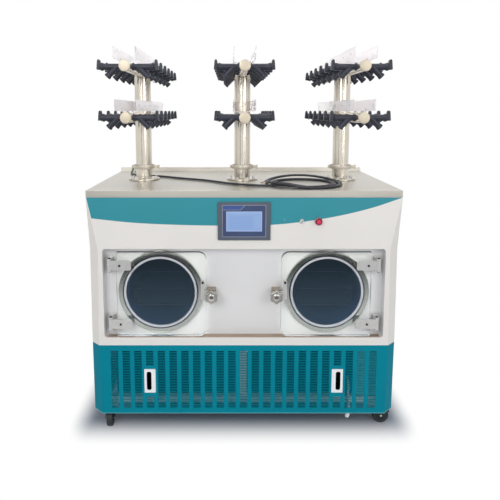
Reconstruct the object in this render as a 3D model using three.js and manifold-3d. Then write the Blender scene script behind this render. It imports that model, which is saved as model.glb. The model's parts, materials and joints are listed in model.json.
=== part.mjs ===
// Floor-standing laboratory freeze dryer: a wheeled cabinet with two round drying chambers behind
// clear doors, and three manifold towers of rubber valves standing on its worktop.
// Millimetres. X runs to the right, Y to the back and Z up; the origin is on the floor under the
// centre of the cabinet.
import * as THREE from 'three';
import { mergeVertices } from 'three/addons/utils/BufferGeometryUtils.js';
import { ConvexGeometry } from 'three/addons/geometries/ConvexGeometry.js';
import Module from 'manifold-3d';

const wasm = await Module();
wasm.setup();

// ---- Driving dimensions ----------------------------------------------------------------------

const gap = 0.3;                  // between pieces that rest on each other
const runningGap = 0.3;           // radial, between a pin and what turns on it

// Cabinet
const cabinetWidth = 1352;
const cabinetDepth = 750;
const worktopHeight = 1098;       // floor to the top face
const worktopLip = 29;            // folded edge of the worktop
const worktopSheet = 3;
const rimHeight = 22;             // upstand along the back of the worktop
const rimThickness = 12;
const skirtHeight = 88;           // floor to the lower edge of the panels
const seamHeight = 408;           // where the base meets the upper front
const sheet = 3;                  // wall of the folded front shells
const shellDepth = 60;            // front to back size of the folded front shells
const panelSheet = 2;             // wall of the side and rear panels
const panelDepth = 20;            // return of the side and rear panels
const chamferFoot = 44;           // corner chamfers: at the floor end, at the seam, at the knee, and
const chamferSeam = 38;           // running out to nothing under the worktop
const chamferKnee = 45;
const kneeHeight = 839;

// Chassis
const tube = 30;                  // rails
const post = 40;                  // posts and side rails
const footPlate = 70;
const footThickness = 6;
const footHeight = 100;           // floor to the underside of the foot plates
const lowRailHeight = 106;        // underside of the lowest cross rails

// Bay that the two doors sit in
const bayWidth = 1226;
const bayBottom = 444;
const bayTop = 843;
const bayDepth = 45;
const baySheet = 2;
const bayLip = 10;
const bayCorner = 14;
const drainThickness = 3;

// Chambers and doors
const chamberX = 366;
const chamberZ = 642;
const chamberBore = 151;          // radius
const chamberWall = 5;
const chamberDepth = 420;
const flangeRadius = 186;
const flangeThickness = 12;
const gasketRadius = 161;
const gasketThickness = 6;
const doorOuterX = 556;           // hinge edge of the door plate
const doorInnerX = 163;           // latch edge
const doorBottom = 448;
const doorTop = 827;
const doorThickness = 22;
const doorCorner = 35;
const shelfCount = 3;
const shelfPitch = 76;
const shelfThickness = 3;
const shelfDepth = 360;

// Hinges and latches
const pinX = 584;
const pinRadius = 4;
const knuckleRadius = 10;
const armHeight = 42;
const armThickness = 8;
const armReach = 95;              // from the pin to the free end of the arm
const lugThickness = 8;
const hingeHeights = { lower: 506, upper: 770 };
const latchX = 141;
const latchZ = 632;
const postWidth = 38;
const postHeight = 57;
const earThickness = 6;
const earHeight = 46;
const tabHeight = 74;             // the ear's upright tab, above the knob
const earReach = 207;             // how far the ear reaches onto the door
const studRadius = 5;
const studLength = 20;
const studClearance = 1.5;
const knobRadius = 28;
const knobThickness = 18;
const knobHub = 6;

// Vacuum port in the rear panel
const portX = 420;
const portZ = 250;
const portBore = 20;              // radius
const portWall = 4;
const portFlange = 34;            // radius
const portFlangeThickness = 8;
const portReach = 42;

// Controls
const controlZ = 966;
const bezelWidth = 226;
const bezelHeight = 165;
const bezelThickness = 8;
const screenWidth = 154;
const screenHeight = 88;
const screenThickness = 3;
const screenSetback = 1;
const stopX = 318;
const stopHead = 15;              // radius
const stopHeadDepth = 12;
const stopNeck = 9;
const stopTravel = 5;
const collarRadius = 17;
const collarHeight = 4;
const selectorX = 247;
const selectorRadius = 10;
const selectorBody = 7;
const selectorBar = 10;
const selectorShaft = 4;

// Pulls in the base
const pullX = 416;
const pullZ = 243;
const pullWidth = 50;
const pullHeight = 110;
const pullThickness = 3;
const pullSlotWidth = 21;
const pullSlotHeight = 86;
const pullSlotShift = 4;          // the slot lies a little outward in its frame

// Towers
const towerX = [-485, 0, 485];
const towerNames = ['left', 'centre', 'right'];
const pipeRadius = 39;
const pipeWall = 3;
const baseRadius = 75;
const baseThickness = 8;
const neckHeight = 65;            // worktop to the joint between base and manifold
const ferruleRadius = 45.5;
const ferruleRim = 2;
const ferruleSlope = 3;
const clampRadius = 54;
const clampHeight = 18;
const headerRadius = 21;
const headerWall = 2.5;
const headerHalf = 440;
const headerRise = [308, 518];    // axis of each header above the worktop
const valvesPerSide = 6;
const valvePitch = 147;
const valveRadius = 13;
const valveReach = 109;           // header axis to the joint between valve body and knob
const branchRadius = 14;
const branchStart = 42;
const branchDrop = 41;            // the branch runs down and outward at 45 degrees
const knobDepth = 15.5;
const knobUp = 30;
const knobDown = 12;
const knobWidth = 26;
const plateX = 44;
const plateThickness = 2;
const plateLow = 28;
const plateHeight = 48;
const bracketY = 294;

// Casters
const casterX = 608;
const casterY = 295;
const wheelRadius = 37.5;
const wheelWidth = 26;
const axleRadius = 5;
const casterOffset = 28;          // wheel axle behind the swivel axis
const forkThickness = 4;
const forkClearance = 1.5;
const crownHeight = 84;
const crownThickness = 6;
const racewayRadius = 28;
const leverKnee = 47;
const leverReach = 67;
const leverDrop = 20;             // the pedal's pad slopes down this much past its knee
const casters = [
  { name: 'front_left', x: -1, y: -1, heading: -90, lever: true },
  { name: 'front_right', x: 1, y: -1, heading: 0, lever: true },
  { name: 'rear_left', x: -1, y: 1, heading: 90, lever: false },
  { name: 'rear_right', x: 1, y: 1, heading: 90, lever: false },
];

// Mains lead, which comes out of the back, goes over the rim and lies coiled on the worktop
const cordRadius = 5;
const glandX = -600;
const glandZ = 1045;
const glandRadius = 12;
const glandLength = 16;
const coilX = 280;
const coilY = -168;
const coilOuter = 185;
const coilInner = 120;
const coilHeight = 30;
const cordRoute = [
  [-600, 391.6, 1045],
  [-600, 392.5, 1045],
  [-600, 393.4, 1045],
  [-600, 413.5, 1050.4],
  [-600, 428.1, 1065.1],
  [-600, 433.5, 1085.1],
  [-600, 428.1, 1105.8],
  [-600, 413.5, 1120.8],
  [-600, 393.4, 1126.3],
  [-600, 366, 1126.6],
  [-600, 335, 1121],
  [-599, 303, 1110],
  [-597, 268, 1104.2],
  [-586, 205, 1103.6],
  [-556, 148, 1103.6],
  [-502, 112, 1103.6],
  [-440, 94, 1103.6],
  [-382, 62, 1103.6],
  [-330, 22, 1103.6],
  [-276, -14, 1103.6],
  [-216, -50, 1103.6],
  [-160, -92, 1103.6],
  [-108, -144, 1103.6],
  [-54, -194, 1103.6],
  [6, -228, 1103.6],
  [58, -252, 1103.6],
  [94, -260, 1103.6],
  [116.1, -255.7, 1103.6],
];

// Facets around a full turn
const roundLarge = 32;
const roundMedium = 16;
const roundSmall = 12;
const roundTiny = 8;
const roundValve = 6;
const roundBranch = 4;

// ---- Derived places --------------------------------------------------------------------------

const half = cabinetWidth / 2;
const front = -cabinetDepth / 2;
const back = cabinetDepth / 2;
const lipBottom = worktopHeight - worktopLip;
const panelTop = lipBottom - gap;
const shellBack = front + shellDepth;
const bayBack = front + bayDepth;
const flangeFront = bayBack - gap - flangeThickness;
const gasketFront = flangeFront - gap - gasketThickness;
const doorBack = gasketFront - gap;
const doorFront = doorBack - doorThickness;
const armBack = doorFront - gap;
const armFront = armBack - armThickness;
const pinY = armFront + knuckleRadius;
const drumRadius = chamberBore + chamberWall;
const cradleTop = chamberZ - drumRadius - gap;
const seamJoint = seamHeight - gap;
const sideInner = half - panelDepth - gap;
const railFront = shellBack + gap;
const manifoldBase = worktopHeight + gap + neckHeight + gap;

// ---- Finishes --------------------------------------------------------------------------------

const finishes = {
  stainless: { color: 0xcdc8be, roughness: 0.32, metalness: 0.9 },
  polished: { color: 0xd6d3cc, roughness: 0.16, metalness: 0.95 },
  white: { color: 0xe4e0dc, roughness: 0.45, metalness: 0 },
  teal: { color: 0x087c8e, roughness: 0.45, metalness: 0 },
  chassis: { color: 0xc9c2ae, roughness: 0.6, metalness: 0.1 },
  clear: { color: 0xd5e0dc, roughness: 0.05, metalness: 0, transparent: true, opacity: 0.35 },
  silicone: { color: 0xd0d8e2, roughness: 0.4, metalness: 0 },
  rubber: { color: 0x2b2f3b, roughness: 0.55, metalness: 0 },
  black: { color: 0x121316, roughness: 0.5, metalness: 0 },
  slate: { color: 0x4c525c, roughness: 0.5, metalness: 0 },
  display: { color: 0x85a6d8, roughness: 0.15, metalness: 0 },
  red: { color: 0xa0142a, roughness: 0.35, metalness: 0 },
};

// ---- Shapes ----------------------------------------------------------------------------------

// A closed geometry as a solid that can be joined and cut.
function solid(geometry) {
  const bare = geometry.clone();
  bare.deleteAttribute('normal');
  bare.deleteAttribute('uv');
  const merged = mergeVertices(bare, 1e-4);
  return new wasm.Manifold(new wasm.Mesh({
    numProp: 3,
    vertProperties: new Float32Array(merged.attributes.position.array),
    triVerts: new Uint32Array(merged.index.array),
  }));
}

// A solid's surface as a geometry for a mesh.
function surface(shape) {
  const mesh = shape.getMesh();
  const geometry = new THREE.BufferGeometry();
  geometry.setAttribute('position', new THREE.BufferAttribute(mesh.vertProperties, 3));
  geometry.setIndex(new THREE.BufferAttribute(mesh.triVerts, 1));
  geometry.computeVertexNormals();
  return geometry;
}

function join(shapes) {
  return shapes.reduce((whole, shape) => whole.add(shape));
}

function cut(shape, holes) {
  return holes.reduce((rest, hole) => rest.subtract(hole), shape);
}

function block(x0, x1, y0, y1, z0, z1) {
  const box = new THREE.BoxGeometry(Math.abs(x1 - x0), Math.abs(y1 - y0), Math.abs(z1 - z0));
  box.translate((x0 + x1) / 2, (y0 + y1) / 2, (z0 + z1) / 2);
  return solid(box);
}

// A round bar along one axis; a and b are its place along the other two, in X, Y, Z order.
function bar(axis, radius, start, end, a, b, sides) {
  const round = new THREE.CylinderGeometry(radius, radius, Math.abs(end - start), sides);
  const middle = (start + end) / 2;
  if (axis === 'x') {
    round.rotateZ(Math.PI / 2).translate(middle, a, b);
  } else if (axis === 'y') {
    round.translate(a, middle, b);
  } else {
    round.rotateX(Math.PI / 2).translate(a, b, middle);
  }
  return solid(round);
}

// A profile of [radius, height] points, turned about a vertical axis through (x, y).
function turned(profile, x, y, z, sides) {
  const points = profile.map(([r, h]) => new THREE.Vector2(r, h));
  const round = new THREE.LatheGeometry([...points, points[0]], sides);
  round.rotateX(Math.PI / 2).translate(x, y, z);
  return solid(round);
}

// The same, turned about an axis that runs front to back through (x, z).
function turnedAlongY(profile, x, y, z, sides) {
  const points = profile.map(([r, h]) => new THREE.Vector2(r, h));
  const round = new THREE.LatheGeometry([...points, points[0]], sides);
  round.translate(x, y, z);
  return solid(round);
}

// An upright slab, facing the front, with a radius for each corner: lower left, lower right,
// upper right and upper left.
function slab(x0, x1, z0, z1, y0, y1, corners) {
  const [a, b, c, d] = corners;
  const outline = new THREE.Shape();
  outline.moveTo(x0 + a, z0);
  outline.lineTo(x1 - b, z0);
  outline.absarc(x1 - b, z0 + b, b, -Math.PI / 2, 0);
  outline.lineTo(x1, z1 - c);
  outline.absarc(x1 - c, z1 - c, c, 0, Math.PI / 2);
  outline.lineTo(x0 + d, z1);
  outline.absarc(x0 + d, z1 - d, d, Math.PI / 2, Math.PI);
  outline.lineTo(x0, z0 + a);
  outline.absarc(x0 + a, z0 + a, a, Math.PI, Math.PI * 1.5);
  const options = { depth: y1 - y0, bevelEnabled: false, curveSegments: 3 };
  const plate = new THREE.ExtrudeGeometry(outline, options);
  plate.rotateX(Math.PI / 2).translate(0, y1, 0);
  return solid(plate);
}

// What a corner chamfer takes away, between sections of [height, width]; inset moves its face in.
function chamferCuts(sections, inset) {
  const spare = 5;
  const cuts = [];
  for (const side of [-1, 1]) {
    for (let i = 0; i + 1 < sections.length; i += 1) {
      const corners = [];
      for (const [z, width] of [sections[i], sections[i + 1]]) {
        const reach = width + inset * Math.SQRT2;
        corners.push(new THREE.Vector3(side * (half - reach - spare), front - spare, z));
        corners.push(new THREE.Vector3(side * (half + spare), front + reach + spare, z));
        corners.push(new THREE.Vector3(side * (half + spare), front - spare, z));
      }
      cuts.push(solid(new ConvexGeometry(corners)));
    }
  }
  return cuts;
}

// A folded shell across the front, open at the back, with chamfered corners.
function frontShell(z0, z1, sections, floorThickness) {
  const outer = block(-half, half, front, shellBack, z0, z1);
  const inner = block(
    -half + sheet, half - sheet, front + sheet, shellBack + 1,
    z0 + floorThickness - (floorThickness ? 0 : 1), z1 - sheet,
  );
  const hollow = cut(inner, chamferCuts(sections, sheet));
  return cut(outer, [...chamferCuts(sections, 0), hollow]);
}

const group = new THREE.Group();

function add(name, shape, finish, parent = group) {
  const mesh = new THREE.Mesh(surface(shape), new THREE.MeshStandardMaterial(finishes[finish]));
  mesh.name = name;
  parent.add(mesh);
  return mesh;
}

// ---- Chassis ---------------------------------------------------------------------------------

function chassis() {
  const parts = [];
  const inside = sideInner - post;
  const railBack = back - panelDepth - gap;
  const topRail = worktopHeight - worktopSheet - gap - tube;
  const sideRail = footHeight + footThickness;
  const seat = cradleTop - tube;
  for (const side of [-1, 1]) {
    for (const y of [railFront, railBack - post]) {
      parts.push(block(side * inside, side * sideInner, y, y + post, sideRail, topRail + tube));
    }
    for (const z of [sideRail, seat, topRail]) {
      parts.push(block(side * inside, side * sideInner, railFront, railBack, z, z + tube));
    }
    for (const y of [-casterY, casterY]) {
      parts.push(block(side * (casterX - footPlate / 2), side * sideInner,
        y - footPlate / 2, y + footPlate / 2, footHeight, sideRail + 1));
    }
  }
  const rearCradle = flangeFront + chamberDepth - tube - 10;
  const crossRails = [
    [railFront, lowRailHeight],
    [railFront, seat],
    [railFront, topRail],
    [rearCradle, seat],
    [railBack - tube, lowRailHeight],
    [railBack - tube, topRail],
  ];
  for (const [y, z] of crossRails) {
    parts.push(block(-inside - 1, inside + 1, y, y + tube, z, z + tube));
  }
  parts.push(block(-tube / 2, tube / 2, railFront, railFront + tube, lowRailHeight, cradleTop));
  add('frame', join(parts), 'chassis');
}

// ---- Worktop and panels ----------------------------------------------------------------------

function worktop() {
  const tray = cut(
    block(-half, half, front, back, lipBottom, worktopHeight),
    [block(-half + worktopSheet, half - worktopSheet, front + worktopSheet, back - worktopSheet,
      lipBottom - 1, worktopHeight - worktopSheet)],
  );
  const rim = block(-half, half, back - rimThickness, back, worktopHeight - 1,
    worktopHeight + rimHeight);
  add('worktop', tray.add(rim), 'stainless');
}

function sidePanels() {
  for (const [name, side] of [['left', -1], ['right', 1]]) {
    const outer = block(side * half, side * (half - panelDepth), railFront, back,
      skirtHeight, panelTop);
    const inner = block(side * (half - panelSheet), side * (half - panelDepth - 1),
      railFront + panelSheet, back - panelSheet, skirtHeight + panelSheet, panelTop - panelSheet);
    add(`${name}_side_panel`, outer.subtract(inner), 'white');
  }
}

function rearPanel() {
  const outer = block(-sideInner, sideInner, back - panelDepth, back, skirtHeight, panelTop);
  const inner = block(-sideInner + panelSheet, sideInner - panelSheet,
    back - panelDepth - 1, back - panelSheet, skirtHeight + panelSheet, panelTop - panelSheet);
  const end = back + portReach;
  const pipe = bar('y', portBore + portWall, back - panelSheet, end, portX, portZ, roundMedium);
  const flange = bar('y', portFlange, end - portFlangeThickness, end, portX, portZ, roundMedium);
  const bore = bar('y', portBore, back, end + 1, portX, portZ, roundMedium);
  add('rear_panel', cut(join([outer.subtract(inner), pipe, flange]), [bore]), 'white');
}

function frontFascia() {
  const sections = [
    [seamHeight - 1, chamferSeam],
    [kneeHeight, chamferKnee],
    [lipBottom, 0],
    [lipBottom + 1, 0],
  ];
  const shell = frontShell(seamHeight, panelTop, sections, sheet);
  const collar = bar('y', collarRadius, front - collarHeight, front + 1, stopX, controlZ,
    roundMedium);
  const opening = slab(-bayWidth / 2, bayWidth / 2, bayBottom, bayTop, front - 1, front + sheet + 1,
    [bayCorner, bayCorner, bayCorner, bayCorner]);
  const stopHole = bar('y', stopNeck + gap, front - collarHeight - 1, front + sheet + 1,
    stopX, controlZ, roundMedium);
  const selectorHole = bar('y', selectorShaft + runningGap, front - 1, front + sheet + 1,
    selectorX, controlZ, roundSmall);
  add('front_fascia', cut(shell.add(collar), [opening, stopHole, selectorHole]), 'white');
}

function baseCover() {
  const sections = [
    [skirtHeight - 1, chamferFoot],
    [seamHeight, chamferSeam],
  ];
  const shell = frontShell(skirtHeight, seamJoint, sections, 0);
  const slots = [-1, 1].map((side) => pullSlot(side, front - 1, front + sheet + 1));
  add('base_grille', cut(shell, slots), 'teal');
  for (const [name, side] of [['left', -1], ['right', 1]]) {
    const x = side * pullX;
    const plate = slab(x - pullWidth / 2, x + pullWidth / 2,
      pullZ - pullHeight / 2, pullZ + pullHeight / 2,
      front - gap - pullThickness, front - gap, [2, 2, 2, 2]);
    const slot = pullSlot(side, front - gap - pullThickness - 1, front);
    add(`grille_pull_${name}`, plate.subtract(slot), 'white');
  }
}

function pullSlot(side, y0, y1) {
  const x = side * (pullX + pullSlotShift);
  const round = 8;
  return slab(x - pullSlotWidth / 2, x + pullSlotWidth / 2,
    pullZ - pullSlotHeight / 2, pullZ + pullSlotHeight / 2, y0, y1, [round, round, round, round]);
}

// ---- Bay, chambers and shelves ---------------------------------------------------------------

function bay() {
  const w = bayWidth / 2;
  const mouth = front + sheet + gap;
  const round = (inset) => Array(4).fill(bayCorner + inset);
  const outer = slab(-w - baySheet, w + baySheet, bayBottom - baySheet, bayTop + baySheet,
    mouth, bayBack + baySheet, round(baySheet));
  const lip = slab(-w - bayLip, w + bayLip, bayBottom - bayLip, bayTop + bayLip,
    mouth, mouth + baySheet, round(bayLip));
  const hollow = slab(-w, w, bayBottom, bayTop, mouth - 1, bayBack, round(0));
  const ports = [-1, 1].map((side) => bar('y', drumRadius + gap, bayBack - 1,
    bayBack + baySheet + 1, side * chamberX, chamberZ, roundLarge));
  add('chamber_bay', cut(outer.add(lip), [hollow, ...ports]), 'white');

  const inset = bayCorner;
  const drain = block(-w + inset, w - inset, mouth + gap, flangeFront - gap,
    bayBottom + gap, bayBottom + gap + drainThickness);
  add('drip_tray', drain, 'stainless');
}

function chambers() {
  const inner = chamberBore * Math.cos(Math.PI / roundLarge) - gap;
  const shelfSpan = shelfPitch * (shelfCount - 1);
  const cheekHalf = shelfSpan / 2 + shelfThickness;
  const cheekX = Math.sqrt(inner ** 2 - cheekHalf ** 2);
  for (const [name, side] of [['left', -1], ['right', 1]]) {
    const x = side * chamberX;
    const drum = turnedAlongY([
      [chamberBore, 0],
      [flangeRadius, 0],
      [flangeRadius, flangeThickness],
      [drumRadius, flangeThickness],
      [drumRadius, chamberDepth],
      [0, chamberDepth],
      [0, chamberDepth - chamberWall],
      [chamberBore, chamberDepth - chamberWall],
    ], x, flangeFront, chamberZ, roundLarge);
    add(`chamber_${name}`, drum, 'polished');

    const seal = turnedAlongY([
      [chamberBore, 0],
      [gasketRadius, 0],
      [gasketRadius, gasketThickness],
      [chamberBore, gasketThickness],
    ], x, gasketFront, chamberZ, roundLarge);
    add(`door_gasket_${name}`, seal, 'silicone');

    const y1 = flangeFront + chamberDepth - chamberWall - 4;
    const y0 = y1 - shelfDepth;
    const parts = [-1, 1].map((hand) => block(x + hand * cheekX, x + hand * (cheekX - 2), y0, y1,
      chamberZ - cheekHalf, chamberZ + cheekHalf));
    for (let i = 0; i < shelfCount; i += 1) {
      const z = chamberZ - shelfSpan / 2 + i * shelfPitch;
      parts.push(block(x - cheekX + 1, x + cheekX - 1, y0, y1,
        z - shelfThickness / 2, z + shelfThickness / 2));
    }
    add(`shelf_rack_${name}`, join(parts), 'stainless');
  }
}

// ---- Doors, hinges and latches ---------------------------------------------------------------

function doors() {
  for (const [name, side] of [['left', -1], ['right', 1]]) {
    const x0 = Math.min(side * doorOuterX, side * doorInnerX);
    const x1 = Math.max(side * doorOuterX, side * doorInnerX);
    const small = 4;
    const corners = side < 0 ? [small, doorCorner, doorCorner, small]
      : [doorCorner, small, small, doorCorner];
    add(`door_${name}`, slab(x0, x1, doorBottom, doorTop, doorFront, doorBack, corners), 'clear');
    for (const [level, z] of Object.entries(hingeHeights)) {
      hinge(`${name}_${level}`, side, z);
    }
    latch(name, side);
  }
}

function hinge(name, side, z) {
  const x = side * pinX;
  const low = z - armHeight / 2;
  const high = z + armHeight / 2;
  const lugs = [];
  for (const [z0, z1] of [[low - gap - lugThickness, low - gap], [high + gap, high + gap + lugThickness]]) {
    lugs.push(block(x - knuckleRadius, x + knuckleRadius, pinY, bayBack - gap, z0, z1));
    lugs.push(bar('z', knuckleRadius, z0, z1, x, pinY, roundMedium));
  }
  const foot = block(x - 22, x + 22, bayBack - gap - 6, bayBack - gap,
    low - gap - lugThickness - 6, high + gap + lugThickness + 6);
  const pin = bar('z', pinRadius, low - lugThickness, high + lugThickness, x, pinY, roundSmall);
  add(`hinge_block_${name}`, join([foot, ...lugs, pin]), 'stainless');

  const plate = block(x, side * (pinX - armReach), armFront, armBack, low, high);
  const knuckle = bar('z', knuckleRadius, low, high, x, pinY, roundMedium);
  const bore = bar('z', pinRadius + runningGap, low - 1, high + 1, x, pinY, roundSmall);
  add(`hinge_arm_${name}`, plate.add(knuckle).subtract(bore), 'stainless');
}

function latch(name, side) {
  const x = side * latchX;
  const holeRadius = studRadius + studClearance;
  const stand = block(x - postWidth / 2, x + postWidth / 2, doorFront, bayBack - gap,
    latchZ - postHeight / 2, latchZ + postHeight / 2);
  const earBack = doorFront - gap;
  const earFront = earBack - earThickness;
  const knobBack = earFront - gap;
  const studEnd = knobBack + studLength;
  const socket = bar('y', holeRadius, doorFront - 1, studEnd + 3, x, latchZ, roundSmall);
  add(`latch_post_${name}`, stand.subtract(socket), 'stainless');

  const strap = block(x - side * postWidth / 2, side * earReach, earFront, earBack,
    latchZ - earHeight / 2, latchZ + earHeight / 2);
  const tab = block(side * (doorInnerX + 4), side * (doorInnerX + 32), earFront, earBack,
    latchZ, latchZ + tabHeight);
  const hole = bar('y', holeRadius, earFront - 1, earBack + 1, x, latchZ, roundSmall);
  add(`latch_ear_${name}`, strap.add(tab).subtract(hole), 'stainless');

  const lobes = 5;
  const outline = new THREE.Shape();
  for (let i = 0; i < roundLarge; i += 1) {
    const turn = (i / roundLarge) * Math.PI * 2;
    const reach = knobRadius - 3.5 + 3.5 * Math.cos(lobes * turn);
    const point = [Math.sin(turn) * reach, Math.cos(turn) * reach];
    if (i === 0) {
      outline.moveTo(...point);
    } else {
      outline.lineTo(...point);
    }
  }
  const star = new THREE.ExtrudeGeometry(outline, { depth: knobThickness, bevelEnabled: false });
  star.rotateX(Math.PI / 2).translate(x, knobBack - knobHub, latchZ);
  const hub = bar('y', knobRadius / 2, knobBack - knobHub - 1, knobBack, x, latchZ, roundMedium);
  const stud = bar('y', studRadius, knobBack - 1, studEnd, x, latchZ, roundSmall);
  add(`latch_knob_${name}`, join([solid(star), hub, stud]), 'polished');
}

// ---- Controls --------------------------------------------------------------------------------

function controls() {
  const face = front - gap;
  const frame = slab(-bezelWidth / 2, bezelWidth / 2, controlZ - bezelHeight / 2,
    controlZ + bezelHeight / 2, face - bezelThickness, face, [4, 4, 4, 4]);
  const w = screenWidth / 2;
  const h = screenHeight / 2;
  const screenFront = face - bezelThickness + screenSetback;
  const recess = block(-w - gap, w + gap, face - bezelThickness - 1,
    screenFront + screenThickness + gap, controlZ - h - gap, controlZ + h + gap);
  add('screen_bezel', frame.subtract(recess), 'slate');
  add('touch_screen', block(-w, w, screenFront, screenFront + screenThickness,
    controlZ - h, controlZ + h), 'display');

  const headBack = front - collarHeight - gap - stopTravel;
  const button = turnedAlongY([
    [0, headBack - stopHeadDepth],
    [stopHead - 3, headBack - stopHeadDepth],
    [stopHead, headBack - stopHeadDepth + 4],
    [stopHead, headBack],
    [stopNeck, headBack],
    [stopNeck, front + sheet + 10],
    [0, front + sheet + 10],
  ], stopX, 0, controlZ, roundMedium);
  add('stop_button', button, 'red');

  const bodyFront = face - selectorBody;
  const handle = new THREE.BoxGeometry(2 * selectorRadius - 1, selectorBar, 6);
  handle.rotateY(Math.PI / 4).translate(selectorX, bodyFront - selectorBar / 2 + 0.5, controlZ);
  add('selector_switch', join([
    bar('y', selectorRadius, bodyFront, face, selectorX, controlZ, roundMedium),
    bar('y', selectorShaft, face - 1, front + sheet + 6, selectorX, controlZ, roundSmall),
    solid(handle),
  ]), 'polished');
}

// ---- Towers ----------------------------------------------------------------------------------

function towers() {
  towerX.forEach((x, i) => {
    const name = towerNames[i];
    const inner = pipeRadius - pipeWall;
    const slopeStart = neckHeight - ferruleRim - ferruleSlope;
    add(`tower_base_${name}`, turned([
      [inner, 0],
      [baseRadius, 0],
      [baseRadius, baseThickness],
      [pipeRadius, baseThickness],
      [pipeRadius, slopeStart],
      [ferruleRadius, neckHeight - ferruleRim],
      [ferruleRadius, neckHeight],
      [inner, neckHeight],
    ], x, 0, worktopHeight + gap, roundMedium), 'polished');
    towerClamp(name, x);
    manifold(name, x);
  });
}

// The clamp closes round both ferrules, and has a hinge stub on one side and a wing nut on the other.
function towerClamp(name, x) {
  const middle = manifoldBase - gap / 2;
  const lip = pipeRadius + 2.5;
  const groove = ferruleRadius + gap;
  const flat = ferruleRim + gap / 2 + 0.4;
  const shoulder = flat + (groove - lip) * (ferruleSlope / (ferruleRadius - pipeRadius));
  const ring = turned([
    [lip, -clampHeight / 2],
    [clampRadius, -clampHeight / 2],
    [clampRadius, clampHeight / 2],
    [lip, clampHeight / 2],
    [lip, shoulder],
    [groove, flat],
    [groove, -flat],
    [lip, -shoulder],
  ], x, 0, middle, roundMedium);
  const stub = block(x - clampRadius - 8, x - clampRadius + 4, -6, 6, middle - 6, middle + 6);
  const lug = block(x + clampRadius - 4, x + clampRadius + 10, -7, 7, middle - 7, middle + 7);
  const wing = block(x + clampRadius + 8, x + clampRadius + 24, -3, 3, middle - 12, middle + 8);
  add(`tower_clamp_${name}`, join([ring, stub, lug, wing]), 'polished');
}

function manifold(name, x) {
  const bottom = manifoldBase;
  const topAxis = worktopHeight + headerRise[1];
  const columnTop = topAxis - headerRadius + 3;
  const columnHeight = columnTop - bottom;
  const column = turned([
    [0, 0],
    [ferruleRadius, 0],
    [ferruleRadius, ferruleRim],
    [pipeRadius, ferruleRim + ferruleSlope],
    [pipeRadius, columnHeight],
    [0, columnHeight],
  ], x, 0, bottom, roundMedium);
  const shapes = [column];
  const hollows = [
    bar('z', pipeRadius - pipeWall, bottom - 1, columnTop - 6, x, 0, roundMedium),
    bar('z', headerRadius / 2, columnTop - 7, topAxis, x, 0, roundSmall),
  ];
  for (const [level, rise] of headerRise.entries()) {
    const z = worktopHeight + rise;
    shapes.push(bar('y', headerRadius, -headerHalf, headerHalf, x, z, roundSmall));
    hollows.push(bar('y', headerRadius - headerWall, -headerHalf + 4, headerHalf - 4, x, z,
      roundSmall));
    for (const side of [-1, 1]) {
      const px = x + side * plateX;
      shapes.push(block(px - plateThickness / 2, px + plateThickness / 2, -headerHalf, headerHalf,
        z + plateLow, z + plateLow + plateHeight));
    }
    for (const y of [-bracketY, bracketY]) {
      shapes.push(block(x - plateX, x + plateX, y - 5, y + 5, z + headerRadius - 3,
        z + plateLow + 4));
    }
    for (const side of [-1, 1]) {
      for (let i = 0; i < valvesPerSide; i += 1) {
        const y = (i - (valvesPerSide - 1) / 2) * valvePitch;
        shapes.push(...valve(x, y, z, side));
        const separate = i === 0 && level === 0 && side === 1;
        const knob = valveKnob(x, y, z, side, separate ? gap : 0);
        if (separate) {
          add(`valve_knob_${name}`, knob, 'black');
        } else {
          shapes.push(knob);
        }
      }
    }
  }
  add(`manifold_${name}`, cut(join(shapes), hollows), 'polished');
}

// A rubber valve: a body that runs out from the header, and a branch down and outward for a flask.
function valve(x, y, z, side) {
  const start = headerRadius - 4;
  const body = new THREE.CylinderGeometry(valveRadius, valveRadius, valveReach - start, roundValve);
  body.rotateY(Math.PI / roundValve).rotateZ(Math.PI / 2);
  body.translate(x + side * (start + valveReach) / 2, y, z);
  const length = branchDrop * Math.SQRT2;
  const branch = new THREE.CylinderGeometry(branchRadius, branchRadius, length, roundBranch);
  branch.rotateY(Math.PI / roundBranch).rotateZ(side * Math.PI / 4);
  branch.translate(x + side * (branchStart + branchDrop / 2), y, z - branchDrop / 2);
  return [solid(body), solid(branch)];
}

function valveKnob(x, y, z, side, clear) {
  const inner = x + side * (valveReach + clear - (clear ? 0 : 1));
  const outer = x + side * (valveReach + knobDepth);
  return block(inner, outer, y - knobWidth / 2, y + knobWidth / 2, z - knobDown, z + knobUp);
}

// ---- Casters ---------------------------------------------------------------------------------

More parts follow.
